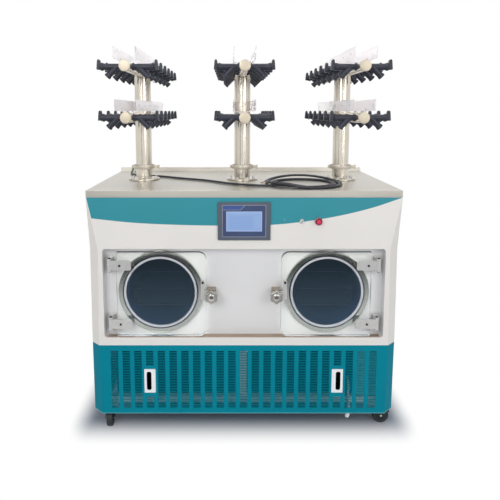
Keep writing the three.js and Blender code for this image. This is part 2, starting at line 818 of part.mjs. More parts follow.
function caster({ name, x, y, heading, lever }) {
  const place = new THREE.Group();
  place.position.set(x * casterX, y * casterY, 0);
  place.rotation.z = THREE.MathUtils.degToRad(heading);
  group.add(place);

  const inner = wheelWidth / 2 + forkClearance;
  const outer = inner + forkThickness;
  const top = crownHeight + crownThickness;
  const leg = new THREE.Shape();
  leg.moveTo(-20, top);
  leg.lineTo(-20, crownHeight - 8);
  leg.lineTo(casterOffset - 9, wheelRadius - 9);
  leg.lineTo(casterOffset + 9, wheelRadius - 9);
  leg.lineTo(casterOffset + 6, crownHeight - 8);
  leg.lineTo(casterOffset + 6, top);
  const parts = [
    block(-20, casterOffset + 6, -outer, outer, crownHeight, top),
    bar('z', racewayRadius, top - 1, footHeight - gap, 0, 0, roundMedium),
    bar('y', axleRadius, -outer - 2, outer + 2, casterOffset, wheelRadius, roundSmall),
  ];
  for (const y0 of [-outer, inner]) {
    const cheek = new THREE.ExtrudeGeometry(leg, { depth: forkThickness, bevelEnabled: false });
    cheek.rotateX(Math.PI / 2).translate(0, y0 + forkThickness, 0);
    parts.push(solid(cheek));
  }
  if (lever) {
    const pedal = new THREE.Shape();
    pedal.moveTo(casterOffset, crownHeight + 1);
    pedal.lineTo(casterOffset, crownHeight - 4);
    pedal.lineTo(leverKnee - 2, crownHeight - 4);
    pedal.lineTo(leverReach - 2, crownHeight - 4 - leverDrop);
    pedal.lineTo(leverReach, crownHeight - leverDrop - 1);
    pedal.lineTo(leverKnee, crownHeight);
    pedal.lineTo(casterOffset + 7, crownHeight + 1);
    const width = 2 * outer - 8;
    const plate = new THREE.ExtrudeGeometry(pedal, { depth: width, bevelEnabled: false });
    plate.rotateX(Math.PI / 2).translate(0, width / 2, 0);
    parts.push(solid(plate));
  }
  add(`caster_fork_${name}`, join(parts), 'black', place);

  // The wheel stands on a flat facet.
  const facet = Math.PI / roundMedium;
  const tyre = new THREE.CylinderGeometry(wheelRadius / Math.cos(facet),
    wheelRadius / Math.cos(facet), wheelWidth, roundMedium);
  tyre.rotateY(facet).translate(casterOffset, 0, wheelRadius);
  const bore = bar('y', axleRadius + runningGap, -wheelWidth, wheelWidth, casterOffset,
    wheelRadius, roundSmall);
  add(`caster_wheel_${name}`, solid(tyre).subtract(bore), 'black', place);
}

// ---- Mains lead ------------------------------------------------------------------------------

function mainsLead() {
  const y = back + gap;
  add('cord_gland', turnedAlongY([
    [0, 0],
    [glandRadius, 0],
    [glandRadius, glandLength * 0.6],
    [glandRadius * 0.7, glandLength],
    [0, glandLength],
  ], glandX, y, glandZ, roundSmall), 'black');

  const curve = new THREE.CatmullRomCurve3(cordRoute.map((point) => new THREE.Vector3(...point)));
  const section = new THREE.Shape();
  for (let i = 0; i < roundTiny; i += 1) {
    const turn = (i / roundTiny) * Math.PI * 2;
    const point = [Math.cos(turn) * cordRadius, Math.sin(turn) * cordRadius];
    if (i === 0) {
      section.moveTo(...point);
    } else {
      section.lineTo(...point);
    }
  }
  const lead = new THREE.ExtrudeGeometry(section, { steps: 50, extrudePath: curve });
  add('cord_lead', solid(lead), 'rubber');

  add('cord_coil', turned([
    [coilInner, 0],
    [coilOuter, 0],
    [coilOuter, coilHeight],
    [coilInner, coilHeight],
  ], coilX, coilY, worktopHeight + gap, roundLarge), 'rubber');
}

chassis();
worktop();
sidePanels();
rearPanel();
frontFascia();
baseCover();
bay();
chambers();
doors();
controls();
towers();
casters.forEach(caster);
mainsLead();

export default group;
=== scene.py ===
import json
import math

import bmesh
import bpy
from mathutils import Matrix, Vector

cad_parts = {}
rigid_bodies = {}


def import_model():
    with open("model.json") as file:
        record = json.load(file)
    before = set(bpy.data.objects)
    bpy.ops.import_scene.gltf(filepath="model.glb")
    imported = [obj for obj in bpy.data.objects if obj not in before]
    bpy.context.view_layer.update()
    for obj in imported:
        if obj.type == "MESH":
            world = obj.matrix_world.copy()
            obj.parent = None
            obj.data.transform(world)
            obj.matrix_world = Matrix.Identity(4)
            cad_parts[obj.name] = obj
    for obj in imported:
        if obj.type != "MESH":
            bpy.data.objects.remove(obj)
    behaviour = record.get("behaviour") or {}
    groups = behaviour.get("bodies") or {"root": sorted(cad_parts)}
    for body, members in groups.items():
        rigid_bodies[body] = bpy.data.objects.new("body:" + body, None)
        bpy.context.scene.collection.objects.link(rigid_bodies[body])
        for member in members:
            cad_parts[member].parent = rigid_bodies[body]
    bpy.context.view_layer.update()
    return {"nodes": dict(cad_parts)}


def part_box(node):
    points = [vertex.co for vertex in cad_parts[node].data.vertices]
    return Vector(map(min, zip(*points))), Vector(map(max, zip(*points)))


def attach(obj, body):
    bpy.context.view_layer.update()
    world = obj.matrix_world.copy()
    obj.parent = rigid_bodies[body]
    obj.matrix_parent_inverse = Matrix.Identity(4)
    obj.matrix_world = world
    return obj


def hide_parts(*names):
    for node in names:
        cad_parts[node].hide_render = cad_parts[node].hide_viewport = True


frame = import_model()

# ---- Camera and studio -----------------------------------------------------------------------
# A camera a little above the worktop, tipped down, in front of a white studio: a pale floor that
# runs out to white, soft lamps from the front and above, and dark cards that only metal mirrors.

bpy.ops.object.camera_add(location=(-0.060, -2.575, 1.430), rotation=(math.radians(83), 0, 0))
camera = bpy.context.object
camera.data.sensor_width = 36
camera.data.lens = 37.656
camera.data.shift_x = 0.0398
camera.data.shift_y = -0.1476
bpy.context.scene.camera = camera
bpy.context.scene.view_settings.view_transform = "Standard"

# The dark ground under the machine is a painted shadow, shaped by these sizes.
SHADE_HALF = (0.683, 0.262, 0)          # the dark ground under the machine, from its middle
SHADE_STRETCH = (1.7, 1.0, 0.0)         # it ends more sharply at the sides than at the front
SHADE_FADE = 0.22                       # how far out the ground takes to turn white
CARD_FAR, CARD_NEAR = -2.85, -1.75      # the depths between which a card's tone runs


def srgb(red, green, blue):
    # A colour as it is mixed, from 0 to 255, as the linear colour that a shader takes.
    parts = [value / 255 for value in (red, green, blue)]
    linear = [p / 12.92 if p <= 0.04045 else ((p + 0.055) / 1.055) ** 2.4 for p in parts]
    return (*linear, 1.0)


def feed(tree, node, inputs):
    # Gives a node's inputs their values. An output of another node is linked.
    for socket, value in inputs.items():
        if isinstance(value, bpy.types.NodeSocket):
            tree.links.new(value, node.inputs[socket])
        else:
            node.inputs[socket].default_value = value
    return node


def add_node(tree, kind, inputs=None, **settings):
    # A new node in a tree, with its settings and then its inputs.
    node = tree.nodes.new(kind)
    for setting, value in settings.items():
        setattr(node, setting, value)
    return feed(tree, node, inputs or {})


def seen_rays(tree):
    # 1 for what the camera, metal and clear plastic see, and 0 for the light on matt surfaces.
    path = add_node(tree, "ShaderNodeLightPath")
    mirrored = add_node(tree, "ShaderNodeMath", {
        0: path.outputs["Is Glossy Ray"], 1: path.outputs["Is Transmission Ray"]}, operation="MAXIMUM")
    seen = add_node(tree, "ShaderNodeMath", {
        0: path.outputs["Is Camera Ray"], 1: mirrored.outputs[0]}, operation="MAXIMUM")
    return seen.outputs[0]


def studio_floor():
    # Matt for the light that falls on it, but as the camera and metal see it, it turns white a
    # little way out from the machine, and beneath it is a painted shadow: a grey that the real
    # shadow darkens further.
    bpy.ops.mesh.primitive_grid_add(x_subdivisions=8, y_subdivisions=8, size=16)
    floor = bpy.context.object
    floor.name = "studio_floor"
    look = bpy.data.materials.new("studio_floor")
    look.use_nodes = True
    tree = look.node_tree
    tree.nodes.clear()
    place = add_node(tree, "ShaderNodeTexCoord")
    fold = add_node(tree, "ShaderNodeVectorMath", {0: place.outputs["Object"]}, operation="ABSOLUTE")
    beyond = add_node(tree, "ShaderNodeVectorMath", {0: fold.outputs[0], 1: SHADE_HALF},
                      operation="SUBTRACT")
    outside = add_node(tree, "ShaderNodeVectorMath", {0: beyond.outputs[0]}, operation="MAXIMUM")
    drawn = add_node(tree, "ShaderNodeVectorMath", {0: outside.outputs[0], 1: SHADE_STRETCH},
                     operation="MULTIPLY")
    reach = add_node(tree, "ShaderNodeVectorMath", {0: drawn.outputs[0]}, operation="LENGTH")
    fade = add_node(tree, "ShaderNodeMapRange", {
        "Value": reach.outputs["Value"], "From Min": 0.0, "From Max": SHADE_FADE},
        interpolation_type="SMOOTHSTEP")
    # The grey under the machine is the painted shadow.
    under = add_node(tree, "ShaderNodeBsdfDiffuse", {"Color": srgb(150, 158, 172)})
    white = add_node(tree, "ShaderNodeEmission")
    lit = add_node(tree, "ShaderNodeMixShader", {
        0: fade.outputs[0], 1: under.outputs[0], 2: white.outputs[0]})
    matt = add_node(tree, "ShaderNodeBsdfDiffuse", {"Color": srgb(232, 232, 234)})
    pick = add_node(tree, "ShaderNodeMixShader", {
        0: seen_rays(tree), 1: matt.outputs[0], 2: lit.outputs[0]})
    add_node(tree, "ShaderNodeOutputMaterial", {"Surface": pick.outputs[0]})
    floor.data.materials.append(look)


def studio_world():
    # Plain fill light for matt surfaces, and clean white for the camera, metal and glass.
    world = bpy.data.worlds.new("studio_world")
    world.use_nodes = True
    bpy.context.scene.world = world
    tree = world.node_tree
    tree.nodes.clear()
    plain = (1.0, 1.0, 1.0, 1.0)
    fill = add_node(tree, "ShaderNodeBackground", {"Color": plain, "Strength": 0.50})
    white = add_node(tree, "ShaderNodeBackground", {"Color": plain})
    mix = add_node(tree, "ShaderNodeMixShader", {
        0: seen_rays(tree), 1: fill.outputs[0], 2: white.outputs[0]})
    add_node(tree, "ShaderNodeOutputWorld", {"Surface": mix.outputs[0]})


def studio_lamp(name, place, size, power, mirrored=True):
    # A soft square lamp that faces the middle of the machine.
    bpy.ops.object.light_add(type="AREA", location=place)
    lamp = bpy.context.object
    lamp.name = name
    lamp.data.size = size
    lamp.data.energy = power
    lamp.visible_glossy = mirrored
    lamp.rotation_euler = (Vector((0, 0, 0.8)) - Vector(place)).to_track_quat("-Z", "Y").to_euler()


def dark_card(name, place, size, turn=(90, 0), near=(0.04, 0.043, 0.055), far=None):
    # A card that only mirrored light sees, so that bright metal has some contrast. One that lies in
    # front of the machine can run from a tone near it to another one far out.
    bpy.ops.mesh.primitive_plane_add(size=1, location=place,
                                     rotation=(math.radians(turn[0]), 0, math.radians(turn[1])))
    card = bpy.context.object
    card.name = name
    card.scale = (*size, 1)
    bpy.ops.object.transform_apply(location=True, rotation=True, scale=True)
    look = bpy.data.materials.new(name)
    look.use_nodes = True
    tree = look.node_tree
    tree.nodes.clear()
    where = add_node(tree, "ShaderNodeTexCoord")
    split = add_node(tree, "ShaderNodeSeparateXYZ", {0: where.outputs["Object"]})
    climb = add_node(tree, "ShaderNodeMapRange", {
        "Value": split.outputs["Y"], "From Min": CARD_FAR, "From Max": CARD_NEAR})
    tone = add_node(tree, "ShaderNodeMix", {
        "Factor": climb.outputs[0], "A": (*(far or near), 1.0), "B": (*near, 1.0)}, data_type="RGBA")
    glow = add_node(tree, "ShaderNodeEmission", {"Color": tone.outputs["Result"]})
    nothing = add_node(tree, "ShaderNodeBsdfTransparent")
    path = add_node(tree, "ShaderNodeLightPath")
    pick = add_node(tree, "ShaderNodeMixShader", {
        0: path.outputs["Glossy Depth"], 1: nothing.outputs[0], 2: glow.outputs[0]})
    add_node(tree, "ShaderNodeOutputMaterial", {"Surface": pick.outputs[0]})
    card.data.materials.append(look)
    card.visible_camera = False
    card.visible_diffuse = False
    card.visible_shadow = False


bpy.ops.object.select_all(action="DESELECT")
studio_floor()
studio_world()
studio_lamp("key_lamp", (-1.4, -3.4, 2.4), 1.6, 44)
studio_lamp("fill_lamp", (1.9, -3.2, 1.9), 1.8, 30)
studio_lamp("top_lamp", (0.2, 0.1, 3.6), 2.2, 18)
studio_lamp("back_lamp", (0.8, 3.4, 2.4), 2.4, 26, mirrored=False)
dark_card("dark_card_left", (-1.25, -2.2, 1.3), (0.35, 2.2), (90, -35))
dark_card("dark_card_right", (1.35, -2.2, 1.3), (0.30, 2.2), (90, 35))
dark_card("dark_card_low", (0.0, -2.55, 0.02), (3.6, 3.3), (0, 0),
          near=(0.80, 0.79, 0.80), far=(0.01, 0.02, 0.03))

# ---- Mains lead ------------------------------------------------------------------------------
# A black rubber lead. It leaves the back through a gland, goes over the worktop's rim, and lies
# across the worktop in a long curve that ends in a loose coil, with its three cores bare.


def node_group(name, inputs, outputs):
    # A node group with named sockets, and the node that hands its inputs on.
    group = bpy.data.node_groups.new(name, "ShaderNodeTree")
    for way, sockets in (("INPUT", inputs), ("OUTPUT", outputs)):
        for socket, kind in sockets.items():
            group.interface.new_socket(socket, in_out=way, socket_type=f"NodeSocket{kind}")
    return group, group.nodes.new("NodeGroupInput")


def drift_group():
    # Slow unevenness in a surface's colour, as paint, metal and rubber all have.
    group, given = node_group("drift", {"Vector": "Vector", "Colour": "Color", "Scale": "Float",
                                        "Amount": "Float"}, {"Colour": "Color"})
    noise = add_node(group, "ShaderNodeTexNoise", {
        "Vector": given.outputs["Vector"], "Scale": given.outputs["Scale"], "Detail": 3.0})
    tone = add_node(group, "ShaderNodeMapRange", {
        "Value": noise.outputs["Fac"], "From Min": 0.3, "From Max": 0.7})
    share = add_node(group, "ShaderNodeMath", {
        0: tone.outputs[0], 1: given.outputs["Amount"]}, operation="MULTIPLY")
    shade = add_node(group, "ShaderNodeMix", {
        "Factor": share.outputs[0], "A": given.outputs["Colour"], "B": (0.0, 0.0, 0.0, 1.0)},
        data_type="RGBA", blend_type="MULTIPLY")
    add_node(group, "NodeGroupOutput", {"Colour": shade.outputs["Result"]})
    return group


def grain_group():
    # Fine grain that can be drawn out in one direction: paint skin, moulded texture or brushing.
    group, given = node_group("grain", {"Vector": "Vector", "Stretch": "Vector", "Scale": "Float",
                                        "Roughness": "Float", "Spread": "Float"},
                              {"Height": "Float", "Roughness": "Float"})
    drawn = add_node(group, "ShaderNodeVectorMath", {
        0: given.outputs["Vector"], 1: given.outputs["Stretch"]}, operation="MULTIPLY")
    noise = add_node(group, "ShaderNodeTexNoise", {
        "Vector": drawn.outputs[0], "Scale": given.outputs["Scale"], "Detail": 2.0})
    centred = add_node(group, "ShaderNodeMath", {0: noise.outputs["Fac"], 1: 0.5}, operation="SUBTRACT")
    rough = add_node(group, "ShaderNodeMath", {
        0: centred.outputs[0], 1: given.outputs["Spread"], 2: given.outputs["Roughness"]},
        operation="MULTIPLY_ADD")
    add_node(group, "NodeGroupOutput", {"Height": noise.outputs["Fac"], "Roughness": rough.outputs[0]})
    return group


drift = drift_group()
grain = grain_group()


def surface(tree, colour, patch, fade, pitch, stretch, roughness, spread):
    # The drift and grain nodes that a material starts from.
    place = add_node(tree, "ShaderNodeTexCoord")
    tone = add_node(tree, "ShaderNodeGroup", {
        "Vector": place.outputs["Object"], "Colour": colour, "Scale": patch, "Amount": fade},
        node_tree=drift, name="tone")
    skin = add_node(tree, "ShaderNodeGroup", {
        "Vector": place.outputs["Object"], "Stretch": stretch, "Scale": pitch,
        "Roughness": roughness, "Spread": spread}, node_tree=grain, name="skin")
    return tone, skin


def finish(name, colour, roughness, metallic=0.0, patch=6.0, fade=0.08, pitch=700.0,
           stretch=(1, 1, 1), spread=0.12, relief=0.00004, shine=0.5):
    # A material: its colour with some drift, and its grain as roughness and bump.
    look = bpy.data.materials.new(name)
    look.use_nodes = True
    tree = look.node_tree
    tone, skin = surface(tree, colour, patch, fade, pitch, stretch, roughness, spread)
    bump = add_node(tree, "ShaderNodeBump", {
        "Strength": 0.5, "Distance": relief, "Height": skin.outputs["Height"]})
    feed(tree, tree.nodes["Principled BSDF"], {
        "Base Color": tone.outputs["Colour"], "Roughness": skin.outputs["Roughness"],
        "Metallic": metallic, "Specular IOR Level": shine, "Normal": bump.outputs["Normal"]})
    return look


def picked(piece):
    # Makes a piece the active one, and the only one that is selected.
    bpy.ops.object.select_all(action="DESELECT")
    bpy.context.view_layer.objects.active = piece
    piece.select_set(True)
    return piece


def settle(piece, name, look, body="cabinet", stands_for=(), smooth=35):
    # What ends every piece: its place goes into its mesh, its flat faces are shaded flat up to
    # their rounded edges, and it gets its finish and its body.
    picked(piece)
    bpy.ops.object.transform_apply(location=True, rotation=True, scale=True)
    if piece.type == "MESH":
        bpy.ops.object.shade_smooth_by_angle(angle=math.radians(smooth))
        even = piece.modifiers.new("even_shading", "WEIGHTED_NORMAL")
        even.keep_sharp = True
        bpy.ops.object.modifier_apply(modifier=even.name)
    piece.name = piece.data.name = name
    piece.data.materials.clear()
    piece.data.materials.append(look)
    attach(piece, body)
    if stands_for:
        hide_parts(*stands_for)
    return piece


def wire(name, points, radius, widths=None):
    # A round flexible piece along points, as one smooth open curve.
    line = bpy.data.curves.new(name, "CURVE")
    line.dimensions = "3D"
    line.bevel_depth = radius
    line.bevel_resolution = 4
    line.resolution_u = 6
    line.use_fill_caps = True
    spline = line.splines.new("BEZIER")
    spline.bezier_points.add(len(points) - 1)
    for i, (knot, point) in enumerate(zip(spline.bezier_points, points)):
        knot.co = point
        knot.handle_left_type = knot.handle_right_type = "AUTO"
        knot.radius = widths[i] if widths else 1.0
    piece = bpy.data.objects.new(name, line)
    bpy.context.collection.objects.link(piece)
    return piece


LEAD_RADIUS = 0.005
COIL_CENTRE = (0.280, -0.168, 1.1036)
ENTRY_HEADING, ENTRY_BEND = 11, 0.12    # which way the lead comes in, in degrees, and its bend
COIL_END, COIL_STEPS = 166 + 4 * 360, 72
TURN_PITCH = 0.0101                     # a little over the lead's thickness
LOOSE_AFTER, LOOSE_OVER = 1.85, 0.45    # the turn after which the coil loosens, and how soon
LOOSE_OUT, LOOSE_UP = 0.011, 0.0155     # how far a loose turn lies out, and stands off at the back
CROSSING, HUMP_HALF, HUMP_RAMP = 221, 52, 34        # degrees round the coil
HUMP_RISE, HUMP_AFTER = 0.0106, 0.7     # the innermost turn has no hump
LEAD_ROUTE = [
    (-0.600, 0.3916, 1.0450),
    (-0.600, 0.3934, 1.0450),
    (-0.600, 0.4135, 1.0504),
    (-0.600, 0.4281, 1.0651),
    (-0.600, 0.4335, 1.0851),
    (-0.600, 0.4281, 1.1058),
    (-0.600, 0.4135, 1.1208),
    (-0.600, 0.3934, 1.1263),
    (-0.600, 0.366, 1.1266),
    (-0.600, 0.335, 1.1210),
    (-0.599, 0.303, 1.1100),
    (-0.597, 0.268, 1.1042),
    (-0.586, 0.205, 1.1036),
    (-0.556, 0.148, 1.1036),
    (-0.502, 0.112, 1.1036),
    (-0.440, 0.094, 1.1036),
    (-0.382, 0.062, 1.1036),
    (-0.330, 0.022, 1.1036),
    (-0.276, -0.014, 1.1036),
    (-0.216, -0.050, 1.1036),
    (-0.160, -0.092, 1.1036),
    (-0.108, -0.144, 1.1036),
    (-0.054, -0.194, 1.1036),
    (0.006, -0.228, 1.1036),
    (0.058, -0.252, 1.1036),
    (0.094, -0.260, 1.1036),
    (0.1161, -0.2557, 1.1036),
]


def eased(share):
    # A share from nought to one, made level at both ends.
    share = max(0.0, min(1.0, share))
    return share * share * (3 - 2 * share)


def coil_route():
    # From the lead's end a wide bend runs in under the turns to the innermost one. The first two
    # turns lie flat, and the later ones lie outside them and stand off the worktop at the back.
    # Each later turn has a long low hump where it crosses the bend.
    centre = Vector(COIL_CENTRE)
    entry = Vector(LEAD_ROUTE[-1])
    heading = math.radians(ENTRY_HEADING)
    pivot = entry + ENTRY_BEND * Vector((math.sin(heading), -math.cos(heading), 0))
    first = math.atan2(pivot.y - centre.y, pivot.x - centre.x) % math.tau
    inner = (pivot - centre).length - ENTRY_BEND
    sweep = heading - (first - 0.75 * math.tau)
    points = []
    for i in range(1, 5):
        turn = heading - sweep * i / 5
        points.append(pivot + ENTRY_BEND * Vector((-math.sin(turn), math.cos(turn), 0)))
    last = math.radians(COIL_END)
    for i in range(COIL_STEPS + 1):
        angle = first + (last - first) * i / COIL_STEPS
        turns = (angle - first) / math.tau
        loose = eased((turns - LOOSE_AFTER) / LOOSE_OVER)
        reach = inner + TURN_PITCH * turns + LOOSE_OUT * loose
        across = abs((math.degrees(angle) - CROSSING + 180) % 360 - 180)
        hump = eased((HUMP_HALF - across) / HUMP_RAMP) if turns > HUMP_AFTER else 0.0
        lift = HUMP_RISE * hump + LOOSE_UP * loose * max(0.0, math.sin(angle)) ** 2
        points.append(centre + Vector((math.cos(angle) * reach, math.sin(angle) * reach, lift)))
    return points


rubber_sheath = finish("rubber_sheath", srgb(33, 35, 46), 0.42, patch=30, fade=0.25, pitch=900)
full_route = [Vector(point) for point in LEAD_ROUTE] + coil_route()
lead = wire("mains_lead", full_route, LEAD_RADIUS)
settle(lead, "mains_lead", rubber_sheath, stands_for=("cord_lead", "cord_coil"))

relief_points = [full_route[0] + Vector((0, -0.012, 0)), *full_route[:4]]
relief = wire("lead_relief", relief_points, LEAD_RADIUS, [1.9, 1.9, 1.75, 1.45, 1.22])
settle(relief, "lead_relief", rubber_sheath)

core_colours = {"brown": srgb(150, 62, 42), "grey": srgb(216, 208, 200), "black": srgb(30, 30, 34)}
core_ends = {"brown": (-0.024, -0.034), "grey": (-0.004, -0.046), "black": (0.014, -0.040)}
for shade, colour in core_colours.items():
    tip = full_route[-1]
    out = Vector((*core_ends[shade], -0.002))
    sag = Vector((0, 0, -0.001))
    path = [tip + Vector((0, 0.004, 0)), tip + out * 0.35, tip + out * 0.75 + sag, tip + out]
    look = finish(f"core_{shade}", colour, 0.4, patch=60, fade=0.1)
    core = wire(f"lead_core_{shade}", path, 0.0018)
    settle(core, f"lead_core_{shade}", look)


def outline(points, filled=False):
    # A closed line through points, as a new piece that is left in edit mode.
    bpy.ops.object.select_all(action="DESELECT")
    fill = "NGON" if filled else "NOTHING"
    bpy.ops.mesh.primitive_circle_add(vertices=len(points), fill_type=fill)
    bpy.ops.object.mode_set(mode="EDIT")
    mesh = bmesh.from_edit_mesh(bpy.context.object.data)
    for vertex, point in zip(mesh.verts, points):
        vertex.co = point
    bmesh.update_edit_mesh(bpy.context.object.data)


def turned(section, centre, axis, sides=48):
    # A closed section of (radius, height) points, spun round an axis through centre.
    along = {"X": Vector((1, 0, 0)), "Y": Vector((0, 1, 0)), "Z": Vector((0, 0, 1))}[axis]
    out = Vector((0, 0, 1)) if axis != "Z" else Vector((1, 0, 0))
    middle = Vector(centre)
    outline([middle + out * radius + along * height for radius, height in section])
    bpy.ops.mesh.select_all(action="SELECT")
    bpy.ops.mesh.spin(steps=sides, angle=2 * math.pi, center=middle, axis=along)
    bpy.ops.mesh.select_all(action="SELECT")
    bpy.ops.mesh.remove_doubles(threshold=0.00002)
    bpy.ops.mesh.delete_loose()
    bpy.ops.mesh.select_all(action="SELECT")
    bpy.ops.mesh.normals_make_consistent(inside=False)
    bpy.ops.object.mode_set(mode="OBJECT")
    return bpy.context.object


black_moulding = finish("black_moulding", srgb(28, 29, 32), 0.5, patch=20, fade=0.2, pitch=1500)
gland_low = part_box("cord_gland")[0]
gland = turned([
    (0.0055, 0), (0.012, 0), (0.012, 0.004), (0.0105, 0.005), (0.0105, 0.007), (0.012, 0.008),
    (0.012, 0.0105), (0.0095, 0.0145), (0.0055, 0.0155),
], (LEAD_ROUTE[0][0], gland_low.y, LEAD_ROUTE[0][2]), "Y", 24)
settle(gland, "lead_gland", black_moulding, stands_for=("cord_gland",))

# ---- Chassis ---------------------------------------------------------------------------------
# The welded frame of square tube under the sheets, in a matt cream powder coat. It shows only as
# pale rails and a centre post behind the slots of the base, where they lie in shade, so its cream
# is painted paler as painted light.

# The cream is brightened as painted light for rails in the shade behind the slots.
chassis_paint = finish("chassis_paint", srgb(246, 241, 230), 0.6, patch=8, fade=0.12, pitch=500)
frame["nodes"]["frame"].data.materials.clear()
frame["nodes"]["frame"].data.materials.append(chassis_paint)

# ---- Worktop ---------------------------------------------------------------------------------
# A tray folded from brushed stainless sheet, its edges turned down all round, with a folded rim
# standing up along the back. The brushing runs from side to side, and the rim is painted paler and
# less metallic, a painted highlight where it catches the light.


def rounded(piece, width, steps=2, sharp=40):
    # Rounds a piece's sharp edges over.
    bpy.context.view_layer.objects.active = piece
    soft = piece.modifiers.new("round_over", "BEVEL")
    soft.width = width
    soft.segments = steps
    soft.limit_method = "ANGLE"
    soft.angle_limit = math.radians(sharp)
    bpy.ops.object.modifier_apply(modifier=soft.name)


def refined(part, round_over=0.001, steps=2, sharp=40):
    # The shape of a CAD node as a new piece: its corners joined, flat faces whole, edges rounded.
    piece = bpy.data.objects.new(part, frame["nodes"][part].data.copy())
    bpy.context.collection.objects.link(piece)
    picked(piece)
    bpy.ops.object.mode_set(mode="EDIT")
    bpy.ops.mesh.select_all(action="SELECT")
    bpy.ops.mesh.remove_doubles(threshold=0.00001)
    bpy.ops.mesh.customdata_custom_splitnormals_clear()
    bpy.ops.mesh.dissolve_limited(angle_limit=math.radians(2))
    bpy.ops.object.mode_set(mode="OBJECT")
    rounded(piece, round_over, steps, sharp)
    return piece


def choose_outer(direction):
    # In edit mode, selects the wide outermost face that looks along a direction.
    along = Vector(direction)
    mesh = bmesh.from_edit_mesh(bpy.context.object.data)
    for face in mesh.faces:
        face.select = False
    flat = [face for face in mesh.faces if face.normal.dot(along) > 0.99]
    max(flat, key=lambda face: face.calc_center_median().dot(along) + face.calc_area()).select = True
    bmesh.update_edit_mesh(bpy.context.object.data)


def painted(piece, look, test):
    # Gives the faces that pass the test a finish of their own.
    piece.data.materials.append(look)
    for face in piece.data.polygons:
        if test(face):
            face.material_index = len(piece.data.materials) - 1


EDGE_STRIP = 0.026                      # flat strip between the tray's edge and its shallow groove
GROOVE_WIDTH, GROOVE_DEPTH = 0.0014, 0.0010
brushed_sheet = finish("brushed_sheet", srgb(200, 196, 187), 0.34, metallic=0.85, patch=3, fade=0.06,
                       pitch=260, stretch=(0.02, 1, 1), spread=0.22, relief=0.00002)
tray = refined("worktop", 0.0018, 3)
bpy.ops.object.mode_set(mode="EDIT")
choose_outer((0, 0, 1))
bpy.ops.mesh.inset(thickness=EDGE_STRIP)
bpy.ops.mesh.inset(thickness=GROOVE_WIDTH, depth=-GROOVE_DEPTH)
bpy.ops.mesh.inset(thickness=GROOVE_WIDTH, depth=GROOVE_DEPTH)
bpy.ops.object.mode_set(mode="OBJECT")
settle(tray, "worktop_tray", brushed_sheet, stands_for=("worktop",))
# The rim's paler, less metallic finish is a painted highlight on the same sheet.
rim_painted_highlight = finish("rim_painted_highlight", srgb(236, 232, 222), 0.45, metallic=0.3, patch=3, fade=0.06,
                   pitch=260, stretch=(0.02, 1, 1), spread=0.2, relief=0.00002)
rim_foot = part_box("tower_base_left")[0].z + 0.004
painted(tray, rim_painted_highlight, lambda face: face.center.z > rim_foot)

# ---- Side and rear panels --------------------------------------------------------------------
# Folded steel sheets, powder coated white above the seam and teal below it, held by small pan
# head screws. The vacuum port stands on the rear panel.

WHITE = srgb(226, 223, 219)
TEAL = srgb(0, 130, 150)
REAR_FACE = 0.375                       # the rear panel's outer face, short of its port
white_paint = finish("white_paint", WHITE, 0.38, patch=2.5, fade=0.05, pitch=900)
teal_paint = finish("teal_paint", TEAL, 0.6, patch=3, fade=0.08, pitch=900, shine=0.08)
seam = (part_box("base_grille")[1].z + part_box("front_fascia")[0].z) / 2


def two_tone():
    # White above the seam and teal below it, split by height.
    look = finish("side_paint", WHITE, 0.38, patch=2.5, fade=0.05, pitch=900)
    tree = look.node_tree
    place = add_node(tree, "ShaderNodeTexCoord")
    parts = add_node(tree, "ShaderNodeSeparateXYZ", {0: place.outputs["Object"]})
    above = add_node(tree, "ShaderNodeMath", {0: parts.outputs["Z"], 1: seam}, operation="GREATER_THAN")
    split = add_node(tree, "ShaderNodeMix", {"Factor": above.outputs[0], "A": TEAL, "B": WHITE},
                     data_type="RGBA")
    feed(tree, tree.nodes["tone"], {"Colour": split.outputs["Result"]})
    return look


def choose(kind, test):
    # In edit mode, selects the vertices, edges or faces of the active piece that pass a test.
    mesh = bmesh.from_edit_mesh(bpy.context.object.data)
    for part in getattr(mesh, kind):
        part.select = test(part)
    bmesh.update_edit_mesh(bpy.context.object.data)


def screw(spot, axis, radius=0.004, depth=0.0022):
    # A pan head screw with a recess, standing on a sheet at spot and facing along axis.
    along = Vector(axis)
    bpy.ops.object.select_all(action="DESELECT")
    bpy.ops.mesh.primitive_cylinder_add(vertices=12, radius=radius, depth=depth,
                                        location=Vector(spot) + along * depth / 2)
    head = bpy.context.object
    head.rotation_euler = along.to_track_quat("Z", "Y").to_euler()
    bpy.ops.object.mode_set(mode="EDIT")
    choose("faces", lambda face: face.normal.z > 0.9)
    bpy.ops.mesh.inset(thickness=radius * 0.25, depth=depth * 0.35)
    bpy.ops.mesh.inset(thickness=radius * 0.3)
    bpy.ops.mesh.inset(thickness=radius * 0.05, depth=-depth * 0.6)
    bpy.ops.object.mode_set(mode="OBJECT")
    return head


def joined(pieces):
    # Makes one piece of several.
    bpy.ops.object.select_all(action="DESELECT")
    for piece in pieces:
        piece.select_set(True)
    bpy.context.view_layer.objects.active = pieces[0]
    bpy.ops.object.transform_apply(location=True, rotation=True, scale=True)
    bpy.ops.object.join()
    return bpy.context.object


side_paint = two_tone()
zinc = finish("zinc_plate", srgb(190, 190, 186), 0.35, metallic=0.9, patch=40, fade=0.15)
for side, sign in (("left", -1), ("right", 1)):
    low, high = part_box(f"{side}_side_panel")
    panel = refined(f"{side}_side_panel", 0.0012)
    settle(panel, f"side_sheet_{side}", side_paint, stands_for=(f"{side}_side_panel",))
    outer = high.x if sign > 0 else low.x
    heads = [screw((outer, y, z), (sign, 0, 0)) for y in (low.y + 0.03, high.y - 0.03)
             for z in (low.z + 0.04, seam - 0.06, seam + 0.06, 0.74, high.z - 0.04)]
    settle(joined(heads), f"side_screws_{side}", zinc)

